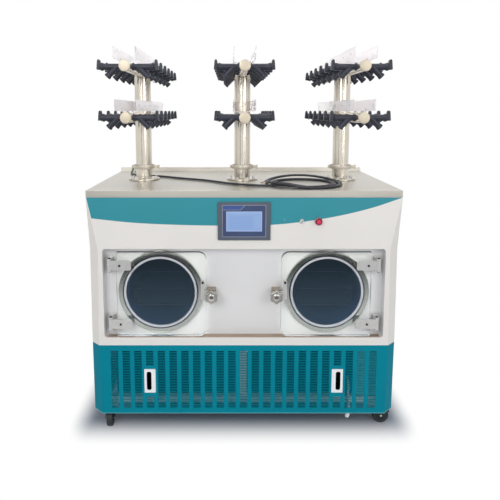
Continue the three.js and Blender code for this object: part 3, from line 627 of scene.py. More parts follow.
settle(refined("rear_panel", 0.0012), "rear_sheet", side_paint,
       stands_for=("rear_panel",))
rear_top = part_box("rear_panel")[1].z
spots = [(x, z) for x in (-0.64, -0.32, 0.0, 0.32, 0.64) for z in (0.13, rear_top - 0.04)]
spots += [(x, z) for x in (-0.64, 0.64) for z in (0.36, 0.6, 0.84)]
heads = [screw((x, REAR_FACE, z), (0, 1, 0)) for x, z in spots]
settle(joined(heads), "rear_screws", zinc)

# ---- Front fascia ----------------------------------------------------------------------------
# A white folded shell with chamfered corners and the opening for the bay. A teal film with a
# curved lower edge covers the top of its front face.

COLLAR_HEIGHT = 0.004                   # the stop button's collar stands out this far
settle(refined("front_fascia", 0.0012, 3, 30), "fascia_shell", white_paint,
       stands_for=("front_fascia",))
fascia_low, fascia_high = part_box("front_fascia")
FRONT = fascia_low.y + COLLAR_HEIGHT


def smooth_run(knots, steps):
    # Points along a smooth curve through knots, by Catmull and Rom's rule.
    run = []
    line = [2 * knots[0] - knots[1], *knots, 2 * knots[-1] - knots[-2]]
    for a, b, c, d in zip(line, line[1:], line[2:], line[3:]):
        for i in range(steps):
            t = i / steps
            run.append(0.5 * (2 * b + (c - a) * t + (2 * a - 5 * b + 4 * c - d) * t * t
                              + (3 * b - a - 3 * c + d) * t ** 3))
    return run + [knots[-1]]


def slab(points, y_front, y_back):
    # An upright plate between two depths, from its outline seen from the front.
    outline([Vector((x, y_back, z)) for x, z in points], filled=True)
    bpy.ops.mesh.select_all(action="SELECT")
    bpy.ops.mesh.extrude_region_move(TRANSFORM_OT_translate={"value": (0, y_front - y_back, 0)})
    bpy.ops.mesh.select_all(action="SELECT")
    bpy.ops.mesh.normals_make_consistent(inside=False)
    bpy.ops.object.mode_set(mode="OBJECT")
    return bpy.context.object


FILM = 0.0003
band_top = fascia_high.z - 0.0006
band_side = 0.6735                      # just short of the fascia's chamfers
film_edge = smooth_run([Vector(p) for p in ((-0.6545, 0.978), (-0.48, 0.9595), (-0.29, 0.950),
                                            (-0.09, 0.9465), (0.09, 0.9485), (0.25, 0.963),
                                            (0.41, 0.990), (0.55, 1.025), (0.668, 1.0655))], 8)
film_outline = [*[(p.x, p.y) for p in film_edge], (band_side - 0.004, band_top), (-band_side, band_top)]
teal_film = finish("teal_film", srgb(40, 140, 154), 0.35, patch=2, fade=0.05, pitch=900)
film = slab(film_outline, FRONT - FILM, FRONT - 0.00002)
settle(film, "teal_band", teal_film)

# ---- Base cover ------------------------------------------------------------------------------
# A teal folded shell with chamfered corners. Its front is punched with columns of short slots,
# left out round the two white finger pulls, which have near-black pockets behind their slots as
# painted shade. Its lower edge is folded back inside, short of the drain tube.

base_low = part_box("base_grille")[0]
pull_boxes = [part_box(f"grille_pull_{side}") for side in ("left", "right")]
SLOT_WIDTH, SLOT_HEIGHT = 0.034, 0.0048
SLOT_CORNER = 0.42 * SLOT_HEIGHT
COLUMNS, COLUMN_PITCH = 23, 0.052
ROWS, ROW_PITCH = 35, 0.00766
FIRST_ROW = 0.118
PULL_MARGIN = 0.014


def cuboid(centre, size):
    # A plain block by its middle and its size.
    bpy.ops.object.select_all(action="DESELECT")
    bpy.ops.mesh.primitive_cube_add(size=1, location=centre)
    piece = bpy.context.object
    piece.scale = size
    bpy.ops.object.transform_apply(location=True, rotation=True, scale=True)
    return piece


def block(low, high, round_over=0.001, steps=2):
    # A solid block between two corners with its edges rounded.
    low, high = Vector(low), Vector(high)
    piece = cuboid((low + high) / 2, [max(abs(size), 0.0001) for size in high - low])
    rounded(piece, round_over, steps)
    return piece


def repeated(piece, count, step):
    # A row of copies, one step apart.
    picked(piece)
    row = piece.modifiers.new("row", "ARRAY")
    row.count = count
    row.use_relative_offset = False
    row.use_constant_offset = True
    row.constant_offset_displace = step
    bpy.ops.object.modifier_apply(modifier=row.name)
    return piece


def near_a_pull(spot):
    # Whether a spot on the front lies on a finger pull or just above or below it.
    return any(low.x < spot.x < high.x and low.z - PULL_MARGIN < spot.z < high.z + PULL_MARGIN
               for low, high in pull_boxes)


def slot_cutters():
    # One rounded slot, repeated in rows and columns, with those round the pulls taken out.
    left = -(COLUMNS - 1) / 2 * COLUMN_PITCH
    cutter = cuboid((left, base_low.y, FIRST_ROW), (SLOT_WIDTH, 0.02, SLOT_HEIGHT))
    bpy.ops.object.mode_set(mode="EDIT")
    choose("edges", lambda line: abs(line.verts[0].co.y - line.verts[1].co.y) > 0.01)
    bpy.ops.mesh.bevel(offset=SLOT_CORNER, segments=2)
    bpy.ops.object.mode_set(mode="OBJECT")
    repeated(cutter, COLUMNS, (COLUMN_PITCH, 0, 0))
    repeated(cutter, ROWS, (0, 0, ROW_PITCH))
    bpy.ops.object.mode_set(mode="EDIT")
    choose("verts", lambda corner: near_a_pull(corner.co))
    bpy.ops.mesh.select_mode(type="VERT")
    bpy.ops.mesh.select_linked()
    bpy.ops.mesh.delete(type="VERT")
    bpy.ops.object.mode_set(mode="OBJECT")
    return cutter


def carved(piece, cutter):
    # Cuts one piece's shape out of another, and clears the cutter away.
    bpy.context.view_layer.objects.active = piece
    cut = piece.modifiers.new("cut", "BOOLEAN")
    cut.object = cutter
    cut.solver = "EXACT"
    bpy.ops.object.modifier_apply(modifier=cut.name)
    bpy.data.objects.remove(cutter)
    return piece


def hollowed(piece, direction, wall, depth):
    # Sinks the face of a piece that looks along direction, leaving a wall round it.
    picked(piece)
    bpy.ops.object.mode_set(mode="EDIT")
    choose_outer(direction)
    bpy.ops.mesh.inset(thickness=wall)
    bpy.ops.mesh.extrude_region_move(TRANSFORM_OT_translate={"value": -Vector(direction) * depth})
    bpy.ops.object.mode_set(mode="OBJECT")
    return piece


cover = refined("base_grille", 0.0012, 3, 30)
carved(cover, slot_cutters())
settle(cover, "base_cover_shell", teal_paint, "base_cover", ("base_grille",), 25)

# The hem is the cover's own lowest strip in a paler teal, a painted highlight along its fold.
HEM_HEIGHT, HEM_SWELL = 0.0026, 0.0004  # the bright hem is the cover's lowest strip, a little fatter
hem_painted_highlight = finish("hem_painted_highlight", srgb(96, 176, 188), 0.3, patch=4, fade=0.1)
hem = picked(refined("base_grille", 0.0006, 1, 30))
bpy.ops.object.mode_set(mode="EDIT")
bpy.ops.mesh.select_all(action="SELECT")
bpy.ops.mesh.bisect(plane_co=(0, 0, base_low.z + HEM_HEIGHT), plane_no=(0, 0, 1), use_fill=True,
                    clear_outer=True)
bpy.ops.mesh.select_all(action="SELECT")
bpy.ops.transform.shrink_fatten(value=HEM_SWELL)
bpy.ops.mesh.normals_make_consistent(inside=False)
bpy.ops.object.mode_set(mode="OBJECT")
settle(hem, "base_hem", hem_painted_highlight, "base_cover")

white_moulding = finish("white_moulding", srgb(236, 238, 240), 0.35, patch=30, fade=0.05, pitch=1500)
# Near black with almost no shine, as painted shade inside the pulls' slots.
pocket_painted_shade = finish("pocket_painted_shade", srgb(8, 8, 9), 0.8, patch=30, fade=0.2, shine=0.02)
for side, (low, high) in zip(("left", "right"), pull_boxes):
    pull = refined(f"grille_pull_{side}", 0.0009, 3)
    settle(pull, f"finger_pull_{side}", white_moulding, "base_cover",
           (f"grille_pull_{side}",))
    pocket = block((low.x + 0.008, base_low.y + 0.0032, low.z + 0.006),
                   (high.x - 0.008, base_low.y + 0.034, high.z - 0.006))
    hollowed(pocket, (0, -1, 0), 0.002, 0.028)
    settle(pocket, f"pull_pocket_{side}", pocket_painted_shade, "base_cover")
fold = block((-0.515, base_low.y + 0.0015, base_low.z + 0.0012),
             (0.470, base_low.y + 0.0570, base_low.z + 0.0027), 0.0005)
settle(fold, "base_fold", teal_paint, "base_cover")

# ---- Condensers and drain --------------------------------------------------------------------
# Two finned condensers stand behind the base cover, dull black, darkened as painted shade behind
# the slots, with thin upright fins in a folded casing. A teal sheet closes the air's way round the
# right one, in a much paler teal as painted light where it stands in shade, and a dark pan lies
# under both as painted shade below the slots. A white drain tube comes out of the right condenser
# and ends in a nozzle below the front.

CONDENSER_FRONT, CONDENSER_DEPTH = -0.280, 0.026
CONDENSER_FOOT, CONDENSER_TOP = 0.107, 0.396
FIN_PITCH, FIN_THICKNESS = 0.0072, 0.0012
BAFFLE_LEFT, BAFFLE_RIGHT, BAFFLE_FOOT, BAFFLE_TOP = 0.506, 0.614, 0.142, 0.398
BAFFLE_FRONT = -0.3120
# The fins are darkened as painted shade behind the slots.
fin_metal_and_shade = finish("fin_metal_and_shade", srgb(15, 27, 31), 0.7, patch=12, fade=0.4, shine=0.1)
# The baffle's teal is much paler, as painted light for a sheet in shade.
baffle_painted_light = finish("baffle_painted_light", srgb(120, 220, 228), 0.6, patch=5, fade=0.2, pitch=900)
# The pan is a dark sheet, as painted shade seen below the slots.
pan_painted_shade = finish("pan_painted_shade", srgb(14, 60, 70), 0.6, patch=6, fade=0.3, pitch=900)


def condenser(name, left, right):
    # A casing that is open to the front, with a row of fins from one end plate to the other.
    front, depth, bottom, top = CONDENSER_FRONT, CONDENSER_DEPTH, CONDENSER_FOOT, CONDENSER_TOP
    end_plate, wall = 0.014, 0.004
    casing = block((left, front, bottom), (right, front + depth, top), 0.0015)
    hollowed(casing, (0, -1, 0), wall, depth - wall)
    fin = cuboid((left + end_plate, front + depth / 2, (bottom + top) / 2),
                 (FIN_THICKNESS, depth - 0.006, top - bottom - 0.017))
    repeated(fin, int((right - left - 2 * end_plate) / FIN_PITCH) + 1, (FIN_PITCH, 0, 0))
    settle(joined([casing, fin]), name, fin_metal_and_shade)


condenser("condenser_left", -0.585, -0.030)
condenser("condenser_right", 0.030, 0.530)
sump = block((-0.500, -0.3120, 0.0895), (0.500, 0.2000, 0.1050), 0.001)
hollowed(sump, (0, 0, -1), 0.0012, 0.0143)
settle(sump, "sump_pan", pan_painted_shade)
baffle = slab([(BAFFLE_LEFT, BAFFLE_FOOT), (BAFFLE_RIGHT, BAFFLE_FOOT), (BAFFLE_RIGHT, BAFFLE_TOP),
               (BAFFLE_LEFT, BAFFLE_TOP)], BAFFLE_FRONT, BAFFLE_FRONT + 0.0015)
edge = block((BAFFLE_RIGHT - 0.0015, BAFFLE_FRONT + 0.0010, BAFFLE_FOOT),
             (BAFFLE_RIGHT, BAFFLE_FRONT + 0.0160, BAFFLE_TOP), 0.0004)
settle(joined([baffle, edge]), "air_baffle", baffle_painted_light)

NOZZLE_WAY = Vector((-0.42, -0.30, -1))
spout_path = [Vector(p) for p in (
    (0.479, -0.2800, 0.216), (0.479, -0.2960, 0.2155), (0.479, -0.3120, 0.206),
    (0.479, -0.3215, 0.182), (0.479, -0.3225, 0.150), (0.480, -0.3235, 0.116),
    (0.483, -0.3290, 0.086), (0.4835, -0.3310, 0.076))]
spout = wire("drain_spout", spout_path, 0.0052)
settle(spout, "drain_spout", white_moulding)
nozzle = turned([(0.0034, 0), (0.0064, 0), (0.0070, 0.002), (0.0092, 0.004), (0.0096, 0.012),
                 (0.0080, 0.014), (0.0098, 0.016), (0.0094, 0.030), (0.0060, 0.035),
                 (0.0034, 0.035)], (0, 0, 0), "Z", 28)
nozzle.rotation_euler = NOZZLE_WAY.to_track_quat("Z", "Y").to_euler()
nozzle.location = spout_path[-1] + Vector((0, 0, 0.004))
settle(nozzle, "drain_nozzle", white_moulding)

# ---- Chamber bay -----------------------------------------------------------------------------
# The white tray that the doors sit in, set back behind the fascia's opening, with a loose
# stainless drip tray along its floor, tinted warm brown as painted shade and reflection.

bay_paint = finish("bay_paint", srgb(219, 219, 220), 0.4, patch=2.5, fade=0.05, pitch=900)
settle(refined("chamber_bay", 0.0008), "bay_tray", bay_paint,
       stands_for=("chamber_bay",))
# The warm brown tint is painted shade and reflection on the steel.
tray_steel_and_reflection = finish("tray_steel_and_reflection", srgb(192, 168, 150), 0.3, metallic=0.8, patch=12, fade=0.2,
                    pitch=300, stretch=(0.03, 1, 1))
settle(refined("drip_tray", 0.0006), "drip_pan", tray_steel_and_reflection,
       stands_for=("drip_tray",))

# ---- Chambers --------------------------------------------------------------------------------
# Two stainless drums. Each has a thick polished flange with a groove round the seal's seat, an
# inside in painted shade with a painted navy glow that stands for reflections in the door, and a
# rack of three shelves on two cheeks in the same painted shade and glow.

FLANGE_RADIUS, FLANGE_DEPTH, BORE, SHELL = 0.186, 0.012, 0.151, 0.005
GROOVE_IN, GROOVE_OUT = 0.1625, 0.1668
polished = finish("polished_steel", srgb(196, 198, 192), 0.12, metallic=0.95, patch=5, fade=0.10,
                  pitch=600, spread=0.10, relief=0.00001)
# The shelves are painted in the chamber's shade, with a painted glow, so that they fade into it.
shelf_shade_and_glow = finish("shelf_shade_and_glow", srgb(14, 21, 36), 0.7, patch=8, fade=0.2,
                     pitch=300, stretch=(0.04, 1, 1), shine=0.1)
feed(shelf_shade_and_glow.node_tree, shelf_shade_and_glow.node_tree.nodes["Principled BSDF"], {
    "Emission Color": (0.014, 0.022, 0.031, 1.0), "Emission Strength": 1.0})
silicone = finish("silicone", srgb(182, 182, 192), 0.35, patch=20, fade=0.06)


def chamber_shade_and_glow():
    # Painted shade on the stainless inside, with a painted navy glow for reflections in the door,
    # which grows towards the top of the drum, where little light falls.
    look = finish("chamber_shade_and_glow", srgb(26, 46, 82), 0.5, patch=5, fade=0.35)
    tree = look.node_tree
    place = add_node(tree, "ShaderNodeTexCoord")
    parts = add_node(tree, "ShaderNodeSeparateXYZ", {0: place.outputs["Object"]})
    climb = add_node(tree, "ShaderNodeMapRange", {
        "Value": parts.outputs["Z"], "From Min": 0.60, "From Max": 0.80})
    glow = add_node(tree, "ShaderNodeMix", {
        "Factor": climb.outputs[0], "A": (0.010, 0.015, 0.020, 1.0), "B": (0.024, 0.037, 0.054, 1.0)},
        data_type="RGBA")
    feed(tree, tree.nodes["Principled BSDF"], {
        "Emission Color": glow.outputs["Result"], "Emission Strength": 1.0})
    return look


chamber_dark = chamber_shade_and_glow()
for side in ("left", "right"):
    low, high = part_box(f"chamber_{side}")
    centre = (low + high) / 2
    front = low.y
    depth = high.y - low.y
    tube = BORE + SHELL
    section = [
        (BORE, 0.0015), (BORE + 0.0015, 0), (GROOVE_IN, 0), (GROOVE_IN, 0.005), (GROOVE_OUT, 0.005),
        (GROOVE_OUT, 0), (FLANGE_RADIUS - 0.0025, 0), (FLANGE_RADIUS - 0.0007, 0.0007),
        (FLANGE_RADIUS, 0.0025), (FLANGE_RADIUS, FLANGE_DEPTH - 0.0005),
        (FLANGE_RADIUS - 0.0005, FLANGE_DEPTH), (tube, FLANGE_DEPTH), (tube, depth - 0.02),
        (tube - 0.012, depth - 0.004), (0, depth), (0, depth - SHELL),
        (BORE - 0.014, depth - SHELL - 0.004), (BORE, depth - 0.024),
    ]
    drum = turned(section, (centre.x, front, centre.z), "Y", 96)
    settle(drum, f"drum_{side}", polished, stands_for=(f"chamber_{side}",), smooth=30)
    # The drum's inside faces take the painted shade and glow.
    painted(drum, chamber_dark, lambda face: face.center.y > front + 0.003
            and math.hypot(face.center.x - centre.x, face.center.z - centre.z) < BORE + 0.0005)

    low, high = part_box(f"door_gasket_{side}")
    seat = (centre.x, low.y, centre.z)
    ring = turned([(BORE + 0.0002, 0.0025), (BORE + 0.0022, 0.0005), (BORE + 0.005, 0),
                   (0.1590, 0.0005), (0.1608, 0.0022), (0.1608, 0.0058), (BORE + 0.0002, 0.0058)],
                  seat, "Y", 96)
    settle(ring, f"seal_{side}", silicone, stands_for=(f"door_gasket_{side}",))
    # The black outer lip is a lip and also painted shade round the seal's edge.
    lip = turned([(0.1612, 0.0010), (0.1620, 0.0004), (0.1648, 0.0012), (0.1662, 0.0050),
                  (0.1650, 0.0062), (0.1612, 0.0062)], seat, "Y", 96)
    settle(lip, f"seal_lip_shade_{side}", black_moulding)

    rack = refined(f"shelf_rack_{side}", 0.0005)
    settle(rack, f"shelves_{side}", shelf_shade_and_glow, stands_for=(f"shelf_rack_{side}",))

# ---- Doors -----------------------------------------------------------------------------------
# Thick clear acrylic plates, square at the hinges and round cornered at the latch, with polished
# edges. They have the faint green of clear acrylic.


def acrylic_look(name, colour, through, roughness, spread=0.03):
    # Clear or milky plastic, which lets light through to what is behind it.
    look = bpy.data.materials.new(name)
    look.use_nodes = True
    tree = look.node_tree
    tone, skin = surface(tree, colour, 4.0, 0.03, 30, (1, 1, 1), roughness, spread)
    plastic = feed(tree, tree.nodes["Principled BSDF"], {
        "Base Color": tone.outputs["Colour"], "Roughness": skin.outputs["Roughness"],
        "Transmission Weight": through, "IOR": 1.40, "Specular Tint": (0.45, 0.75, 1.0, 1.0)})
    clear = add_node(tree, "ShaderNodeBsdfTransparent", {"Color": (0.96, 0.98, 0.97, 1.0)})
    path = add_node(tree, "ShaderNodeLightPath")
    mix = add_node(tree, "ShaderNodeMixShader", {
        0: path.outputs["Is Shadow Ray"], 1: plastic.outputs[0], 2: clear.outputs[0]})
    feed(tree, tree.nodes["Material Output"], {"Surface": mix.outputs[0]})
    return look


def arc(x, z, radius, start, end, steps):
    # Points on an arc about (x, z), angles in degrees.
    turns = [math.radians(start + (end - start) * i / steps) for i in range(steps + 1)]
    return [(x + radius * math.cos(t), z + radius * math.sin(t)) for t in turns]


def round_rect(x0, x1, z0, z1, corners, steps=8):
    # The outline of a rectangle with a radius for each corner: lower left, lower right, upper
    # right and upper left.
    a, b, c, d = corners
    return [*arc(x0 + a, z0 + a, a, 180, 270, steps), *arc(x1 - b, z0 + b, b, 270, 360, steps),
            *arc(x1 - c, z1 - c, c, 0, 90, steps), *arc(x0 + d, z1 - d, d, 90, 180, steps)]


acrylic = acrylic_look("clear_acrylic", (0.965, 0.985, 0.978, 1.0), 1.0, 0.02)
for side in ("left", "right"):
    low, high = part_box(f"door_{side}")
    wide, tight = 0.035, 0.004
    corners = (tight, wide, wide, tight) if side == "left" else (wide, tight, tight, wide)
    plate = slab(round_rect(low.x, high.x, low.z, high.z, corners), low.y, high.y)
    rounded(plate, 0.0009)
    settle(plate, f"door_plate_{side}", acrylic, f"door_{side}", (f"door_{side}",))

# ---- Hinges ----------------------------------------------------------------------------------
# Each door hangs on two stainless hinges. A lugged block with a pin is screwed to the bay, and an
# arm that turns on the pin is screwed across the door's face. The pins have dark ends.

KNUCKLE, PIN_RADIUS = 0.010, 0.0040     # radii of the barrel with its lugs, and of the pin
ARM_THICKNESS = 0.008
LUG, LUG_GAP = 0.0080, 0.0003           # height of a lug, and its gap to the barrel
machined = finish("machined_steel", srgb(206, 205, 204), 0.32, metallic=0.45, patch=25, fade=0.10,
                  pitch=500, stretch=(0.1, 1, 1), spread=0.15, relief=0.00001)
dark_screw = finish("dark_screw", srgb(46, 44, 44), 0.35, metallic=0.6, patch=60, fade=0.2)


def hinge_arm(side, sign, level, pin):
    # The arm with its barrel, and its three screws, which all swing with the door.
    name, door = f"{side}_{level}", f"door_{side}"
    low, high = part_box(f"hinge_arm_{name}")
    end_x = high.x if sign < 0 else low.x
    x0, x1 = sorted((pin.x - sign * 0.004, end_x))
    small, tip = 0.001, 0.006
    corners = (small, tip, tip, small) if sign < 0 else (tip, small, small, tip)
    leaf = slab(round_rect(x0, x1, low.z, high.z, corners, 4), low.y, low.y + ARM_THICKNESS)
    rounded(leaf, 0.0008)
    tall = high.z - low.z
    barrel = turned([(PIN_RADIUS + 0.0003, 0.0004), (KNUCKLE - 0.0008, 0), (KNUCKLE, 0.0008),
                     (KNUCKLE, tall - 0.0008), (KNUCKLE - 0.0008, tall),
                     (PIN_RADIUS + 0.0003, tall - 0.0004)], (pin.x, pin.y, low.z), "Z", 32)
    settle(joined([leaf, barrel]), f"arm_{name}", machined, door,
           (f"hinge_arm_{name}",))
    heads = [screw((end_x + sign * reach, low.y, (low.z + high.z) / 2 + rise), (0, -1, 0), 0.0048, 0.0030)
             for reach, rise in ((0.014, 0.011), (0.014, -0.011), (0.050, 0.0))]
    settle(joined(heads[:2]), f"arm_screws_{name}", machined, door)
    settle(heads[2], f"arm_set_screw_{name}", dark_screw, door)


def hinge_seat(name, pin, foot, top):
    # The block on the bay, with a lug below and above the arm and the pin through both.
    low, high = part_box(f"hinge_block_{name}")
    parts = [block((low.x, high.y - 0.006, low.z), (high.x, high.y, high.z), 0.0015)]
    lowest, highest = foot - LUG_GAP - LUG, top + LUG_GAP + LUG
    for z0 in (lowest, top + LUG_GAP):
        parts.append(block((pin.x - KNUCKLE, pin.y, z0), (pin.x + KNUCKLE, high.y - 0.003, z0 + LUG),
                           0.0008))
        parts.append(turned([(0, 0), (KNUCKLE - 0.0008, 0), (KNUCKLE, 0.0008), (KNUCKLE, LUG - 0.0008),
                             (KNUCKLE - 0.0008, LUG), (0, LUG)], (pin.x, pin.y, z0), "Z", 32))
    ends = [turned([(0, 0), (0.0062, 0), (0.0058, 0.0018 * way), (0.0030, 0.0034 * way),
                    (0, 0.0038 * way)], (pin.x, pin.y, z), "Z", 24)
            for z, way in ((lowest, -1), (highest, 1))]
    settle(joined(ends), f"pin_ends_{name}", dark_screw)
    length = top - foot + 0.012
    parts.append(turned([(0, 0), (PIN_RADIUS, 0), (PIN_RADIUS, length), (0, length)],
                        (pin.x, pin.y, foot - 0.006), "Z", 20))
    settle(joined(parts), f"hinge_seat_{name}", machined,
           stands_for=(f"hinge_block_{name}",))


for side, sign in (("left", -1), ("right", 1)):
    for level in ("lower", "upper"):
        low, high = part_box(f"hinge_arm_{side}_{level}")
        seat_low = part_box(f"hinge_block_{side}_{level}")[0]
        pin = Vector((low.x + KNUCKLE if sign < 0 else high.x - KNUCKLE, seat_low.y + KNUCKLE, 0))
        hinge_arm(side, sign, level, pin)
        hinge_seat(f"{side}_{level}", pin, low.z, high.z)

# ---- Latches ---------------------------------------------------------------------------------
# A steel post on the bay takes each door's star knob. The knob's stud goes through an angled ear
# that is screwed to the acrylic, and the knob has a dark socket screw in its middle.

LOBES, LOBE_RADIUS, LOBE_RISE = 6, 0.0272, 0.0022
cast_steel = finish("cast_steel", srgb(190, 188, 182), 0.22, metallic=0.8, patch=22, fade=0.30,
                    pitch=300, spread=0.18, relief=0.00003)
warm_steel = finish("warm_steel", srgb(188, 176, 158), 0.22, metallic=0.9, patch=40, fade=0.4,
                    pitch=500, spread=0.15, relief=0.00001)


def latch_post(side):
    # A square post with rounded edges, and the foot that holds it to the bay.
    low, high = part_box(f"latch_post_{side}")
    post = [block(low, (high.x, high.y - 0.005, high.z), 0.002, 3),
            block((low.x + 0.001, high.y - 0.008, low.z), high, 0.001)]
    settle(joined(post), f"post_{side}", warm_steel, stands_for=(f"latch_post_{side}",))


def latch_ear(side, sign, axis):
    # A strap across the knob's stud and the door's edge, with a tab and a screw above it.
    low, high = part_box(f"latch_ear_{side}")
    door = f"door_{side}"
    x0, x1 = sorted((axis.x - sign * 0.019, axis.x + sign * 0.047))
    strap = slab(round_rect(x0, x1, axis.z - 0.019, axis.z + 0.021, (0.008,) * 4, 6), low.y, high.y)
    rounded(strap, 0.0009)
    x0, x1 = sorted((axis.x + sign * 0.030, axis.x + sign * 0.047))
    corners = (0.004, 0.004, 0.007, 0.007)
    tab = slab(round_rect(x0, x1, axis.z - 0.004, high.z - 0.002, corners, 5), low.y + 0.0004, high.y)
    rounded(tab, 0.0009)
    settle(joined([strap, tab]), f"ear_{side}", machined, door, (f"latch_ear_{side}",))
    head = screw((axis.x + sign * 0.0385, low.y, axis.z + 0.060), (0, -1, 0), 0.0052, 0.0034)
    settle(head, f"ear_screws_{side}", dark_screw, door)


def star_knob(side, low, high, axis):
    # A cast star with a raised boss, its hub and stud behind it, and a socket screw in its middle.
    spot = (axis.x, low.y, axis.z)
    length = high.y - low.y
    lobes = []
    for i in range(96):
        turn = math.tau * i / 96
        reach = LOBE_RADIUS + LOBE_RISE * math.cos(LOBES * turn)
        lobes.append((axis.x + reach * math.sin(turn), axis.z + reach * math.cos(turn)))
    star = slab(lobes, low.y + 0.0022, low.y + 0.018)
    rounded(star, 0.0026, 4)
    face = turned([(0.0058, 0.0040), (0.0080, 0.0008), (0.0100, 0), (0.0135, 0.0006), (0.0160, 0.0024),
                   (0.0160, 0.0040)], spot, "Y", 36)
    hub = turned([(0, 0.0170), (0.0140, 0.0170), (0.0140, 0.0232), (0.0125, 0.0240), (0.0050, 0.0240),
                  (0.0050, 0.0430), (0.0042, length), (0, length)], spot, "Y", 36)
    settle(joined([star, face, hub]), f"star_knob_{side}", cast_steel,
           f"latch_knob_{side}", (f"latch_knob_{side}",), 30)
    socket = turned([(0, 0.0030), (0.0030, 0.0030), (0.0034, 0.0010), (0.0052, 0.0008), (0.0060, 0.0016),
                     (0.0060, 0.0050), (0, 0.0050)], spot, "Y", 24)
    settle(socket, f"knob_socket_{side}", dark_screw, f"latch_knob_{side}")


for side, sign in (("left", -1), ("right", 1)):
    knob_low, knob_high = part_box(f"latch_knob_{side}")
    axis = (knob_low + knob_high) / 2
    latch_post(side)
    latch_ear(side, sign, axis)
    star_knob(side, knob_low, knob_high, axis)

# ---- Controls --------------------------------------------------------------------------------
# A touch panel in a slate bezel with a bright moulded line and a navy field round the screen, a
# red stop button in its collar with a painted highlight on its face, and a small chromed selector.

slate = finish("slate_bezel", srgb(84, 92, 106), 0.38, patch=16, fade=0.12, pitch=1400)
slate_line = finish("bezel_line", srgb(146, 152, 168), 0.4, patch=16, fade=0.1)
navy = finish("bezel_field", srgb(60, 74, 112), 0.3, patch=14, fade=0.12)
tab_blue = finish("bezel_tab", srgb(58, 84, 146), 0.3, patch=14, fade=0.12)


def window_frame(outside, inside, y_front, y_back):
    # A flat rectangular frame, from its outer and inner (x0, x1, z0, z1).
    piece = slab(round_rect(*outside, (0.002,) * 4, 4), y_front, y_back)
    x0, x1, z0, z1 = inside
    return carved(piece, block((x0, y_front - 0.01, z0), (x1, y_back + 0.01, z1), 0.0003, 1))


low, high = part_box("screen_bezel")
glass_low, glass_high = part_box("touch_screen")
margin = 0.0003
shell = slab(round_rect(low.x, high.x, low.z, high.z, (0.004,) * 4, 5), low.y, high.y)
rounded(shell, 0.0022, 4, 30)
window = block((glass_low.x - margin, low.y - 0.01, glass_low.z - margin),
               (glass_high.x + margin, glass_high.y + margin, glass_high.z + margin), 0.0004, 1)
settle(carved(shell, window), "bezel", slate, stands_for=("screen_bezel",))
x0, x1, z0, z1 = low.x + 0.019, high.x - 0.0195, low.z + 0.0145, high.z - 0.011
rim = 0.0022
inside_rim = (x0 + rim, x1 - rim, z0 + rim, z1 - rim)
line = window_frame((x0, x1, z0, z1), inside_rim, low.y - 0.0004, low.y + 0.0020)
settle(line, "bezel_line", slate_line)
lap = 0.0006
screen_edge = (glass_low.x + lap, glass_high.x - lap, glass_low.z + lap, glass_high.z - lap)
field = window_frame(inside_rim, screen_edge, low.y - 0.0001, low.y + 0.0006)
settle(field, "bezel_field", navy)
tab_end = x0 + 0.078
tab = slab([(x0 + 0.003, z1 - 0.0205), (tab_end, z1 - 0.0205), (tab_end + 0.018, z1 - 0.003),
            (x0 + 0.003, z1 - 0.003)], low.y - 0.0003, low.y + 0.0005)
settle(tab, "bezel_tab", tab_blue)
bead = slab([(x0 + 0.002, z1 - 0.0225), (tab_end + 0.0008, z1 - 0.0225),
             (tab_end + 0.0200, z1 - 0.0035), (tab_end + 0.0185, z1 - 0.0020),
             (tab_end - 0.0002, z1 - 0.0205), (x0 + 0.002, z1 - 0.0205)], low.y - 0.0004, low.y + 0.0005)
settle(bead, "bezel_bead", slate_line)


def patch_group():
    # A soft-edged rectangle of the screen, by its middle and half size, over what lies under it.
    group, given = node_group("patch", {"Vector": "Vector", "Middle": "Vector", "Half": "Vector",
                                        "Under": "Color", "Over": "Color"}, {"Colour": "Color"})
    shift = add_node(group, "ShaderNodeVectorMath", {
        0: given.outputs["Vector"], 1: given.outputs["Middle"]}, operation="SUBTRACT")
    size = add_node(group, "ShaderNodeVectorMath", {0: shift.outputs[0]}, operation="ABSOLUTE")
    gap = add_node(group, "ShaderNodeVectorMath", {
        0: size.outputs[0], 1: given.outputs["Half"]}, operation="SUBTRACT")
    split = add_node(group, "ShaderNodeSeparateXYZ", {0: gap.outputs[0]})
    worst = add_node(group, "ShaderNodeMath", {
        0: split.outputs["X"], 1: split.outputs["Z"]}, operation="MAXIMUM")
    mask = add_node(group, "ShaderNodeMapRange", {
        "Value": worst.outputs[0], "From Min": 0.0006, "From Max": -0.0006})
    over = add_node(group, "ShaderNodeMix", {
        "Factor": mask.outputs[0], "A": given.outputs["Under"], "B": given.outputs["Over"]},
        data_type="RGBA")
    add_node(group, "NodeGroupOutput", {"Colour": over.outputs["Result"]})
    return group


def lit_screen():
    # A lit page: a pale margin, a status strip, a chart field and a column of keys.
    look = finish("lit_screen", srgb(40, 50, 70), 0.12, patch=20, fade=0.1)
    tree = look.node_tree
    middle = (glass_low + glass_high) / 2
    half = (glass_high - glass_low) / 2
    fields = [((0, 0), (half.x - 0.004, half.z - 0.004), srgb(140, 170, 217)),
              ((0, half.z - 0.0085), (half.x - 0.006, 0.0025), srgb(150, 178, 222)),
              ((-0.012, -0.004), (0.050, 0.027), srgb(134, 166, 216))]
    fields += [((0.058, 0.016 - 0.013 * i), (0.010, 0.0042), srgb(146, 174, 220)) for i in range(4)]
    place = add_node(tree, "ShaderNodeTexCoord")
    patch = patch_group()
    page = srgb(168, 188, 230)
    for (x, z), (wide, tall), colour in fields:
        layer = add_node(tree, "ShaderNodeGroup", {
            "Vector": place.outputs["Object"], "Middle": (middle.x + x, middle.y, middle.z + z),
            "Half": (wide, 1.0, tall), "Under": page, "Over": colour}, node_tree=patch)
        page = layer.outputs["Colour"]
    feed(tree, tree.nodes["Principled BSDF"], {"Emission Color": page, "Emission Strength": 0.88})
    return look


settle(refined("touch_screen", 0.0004), "screen", lit_screen(), stands_for=("touch_screen",))

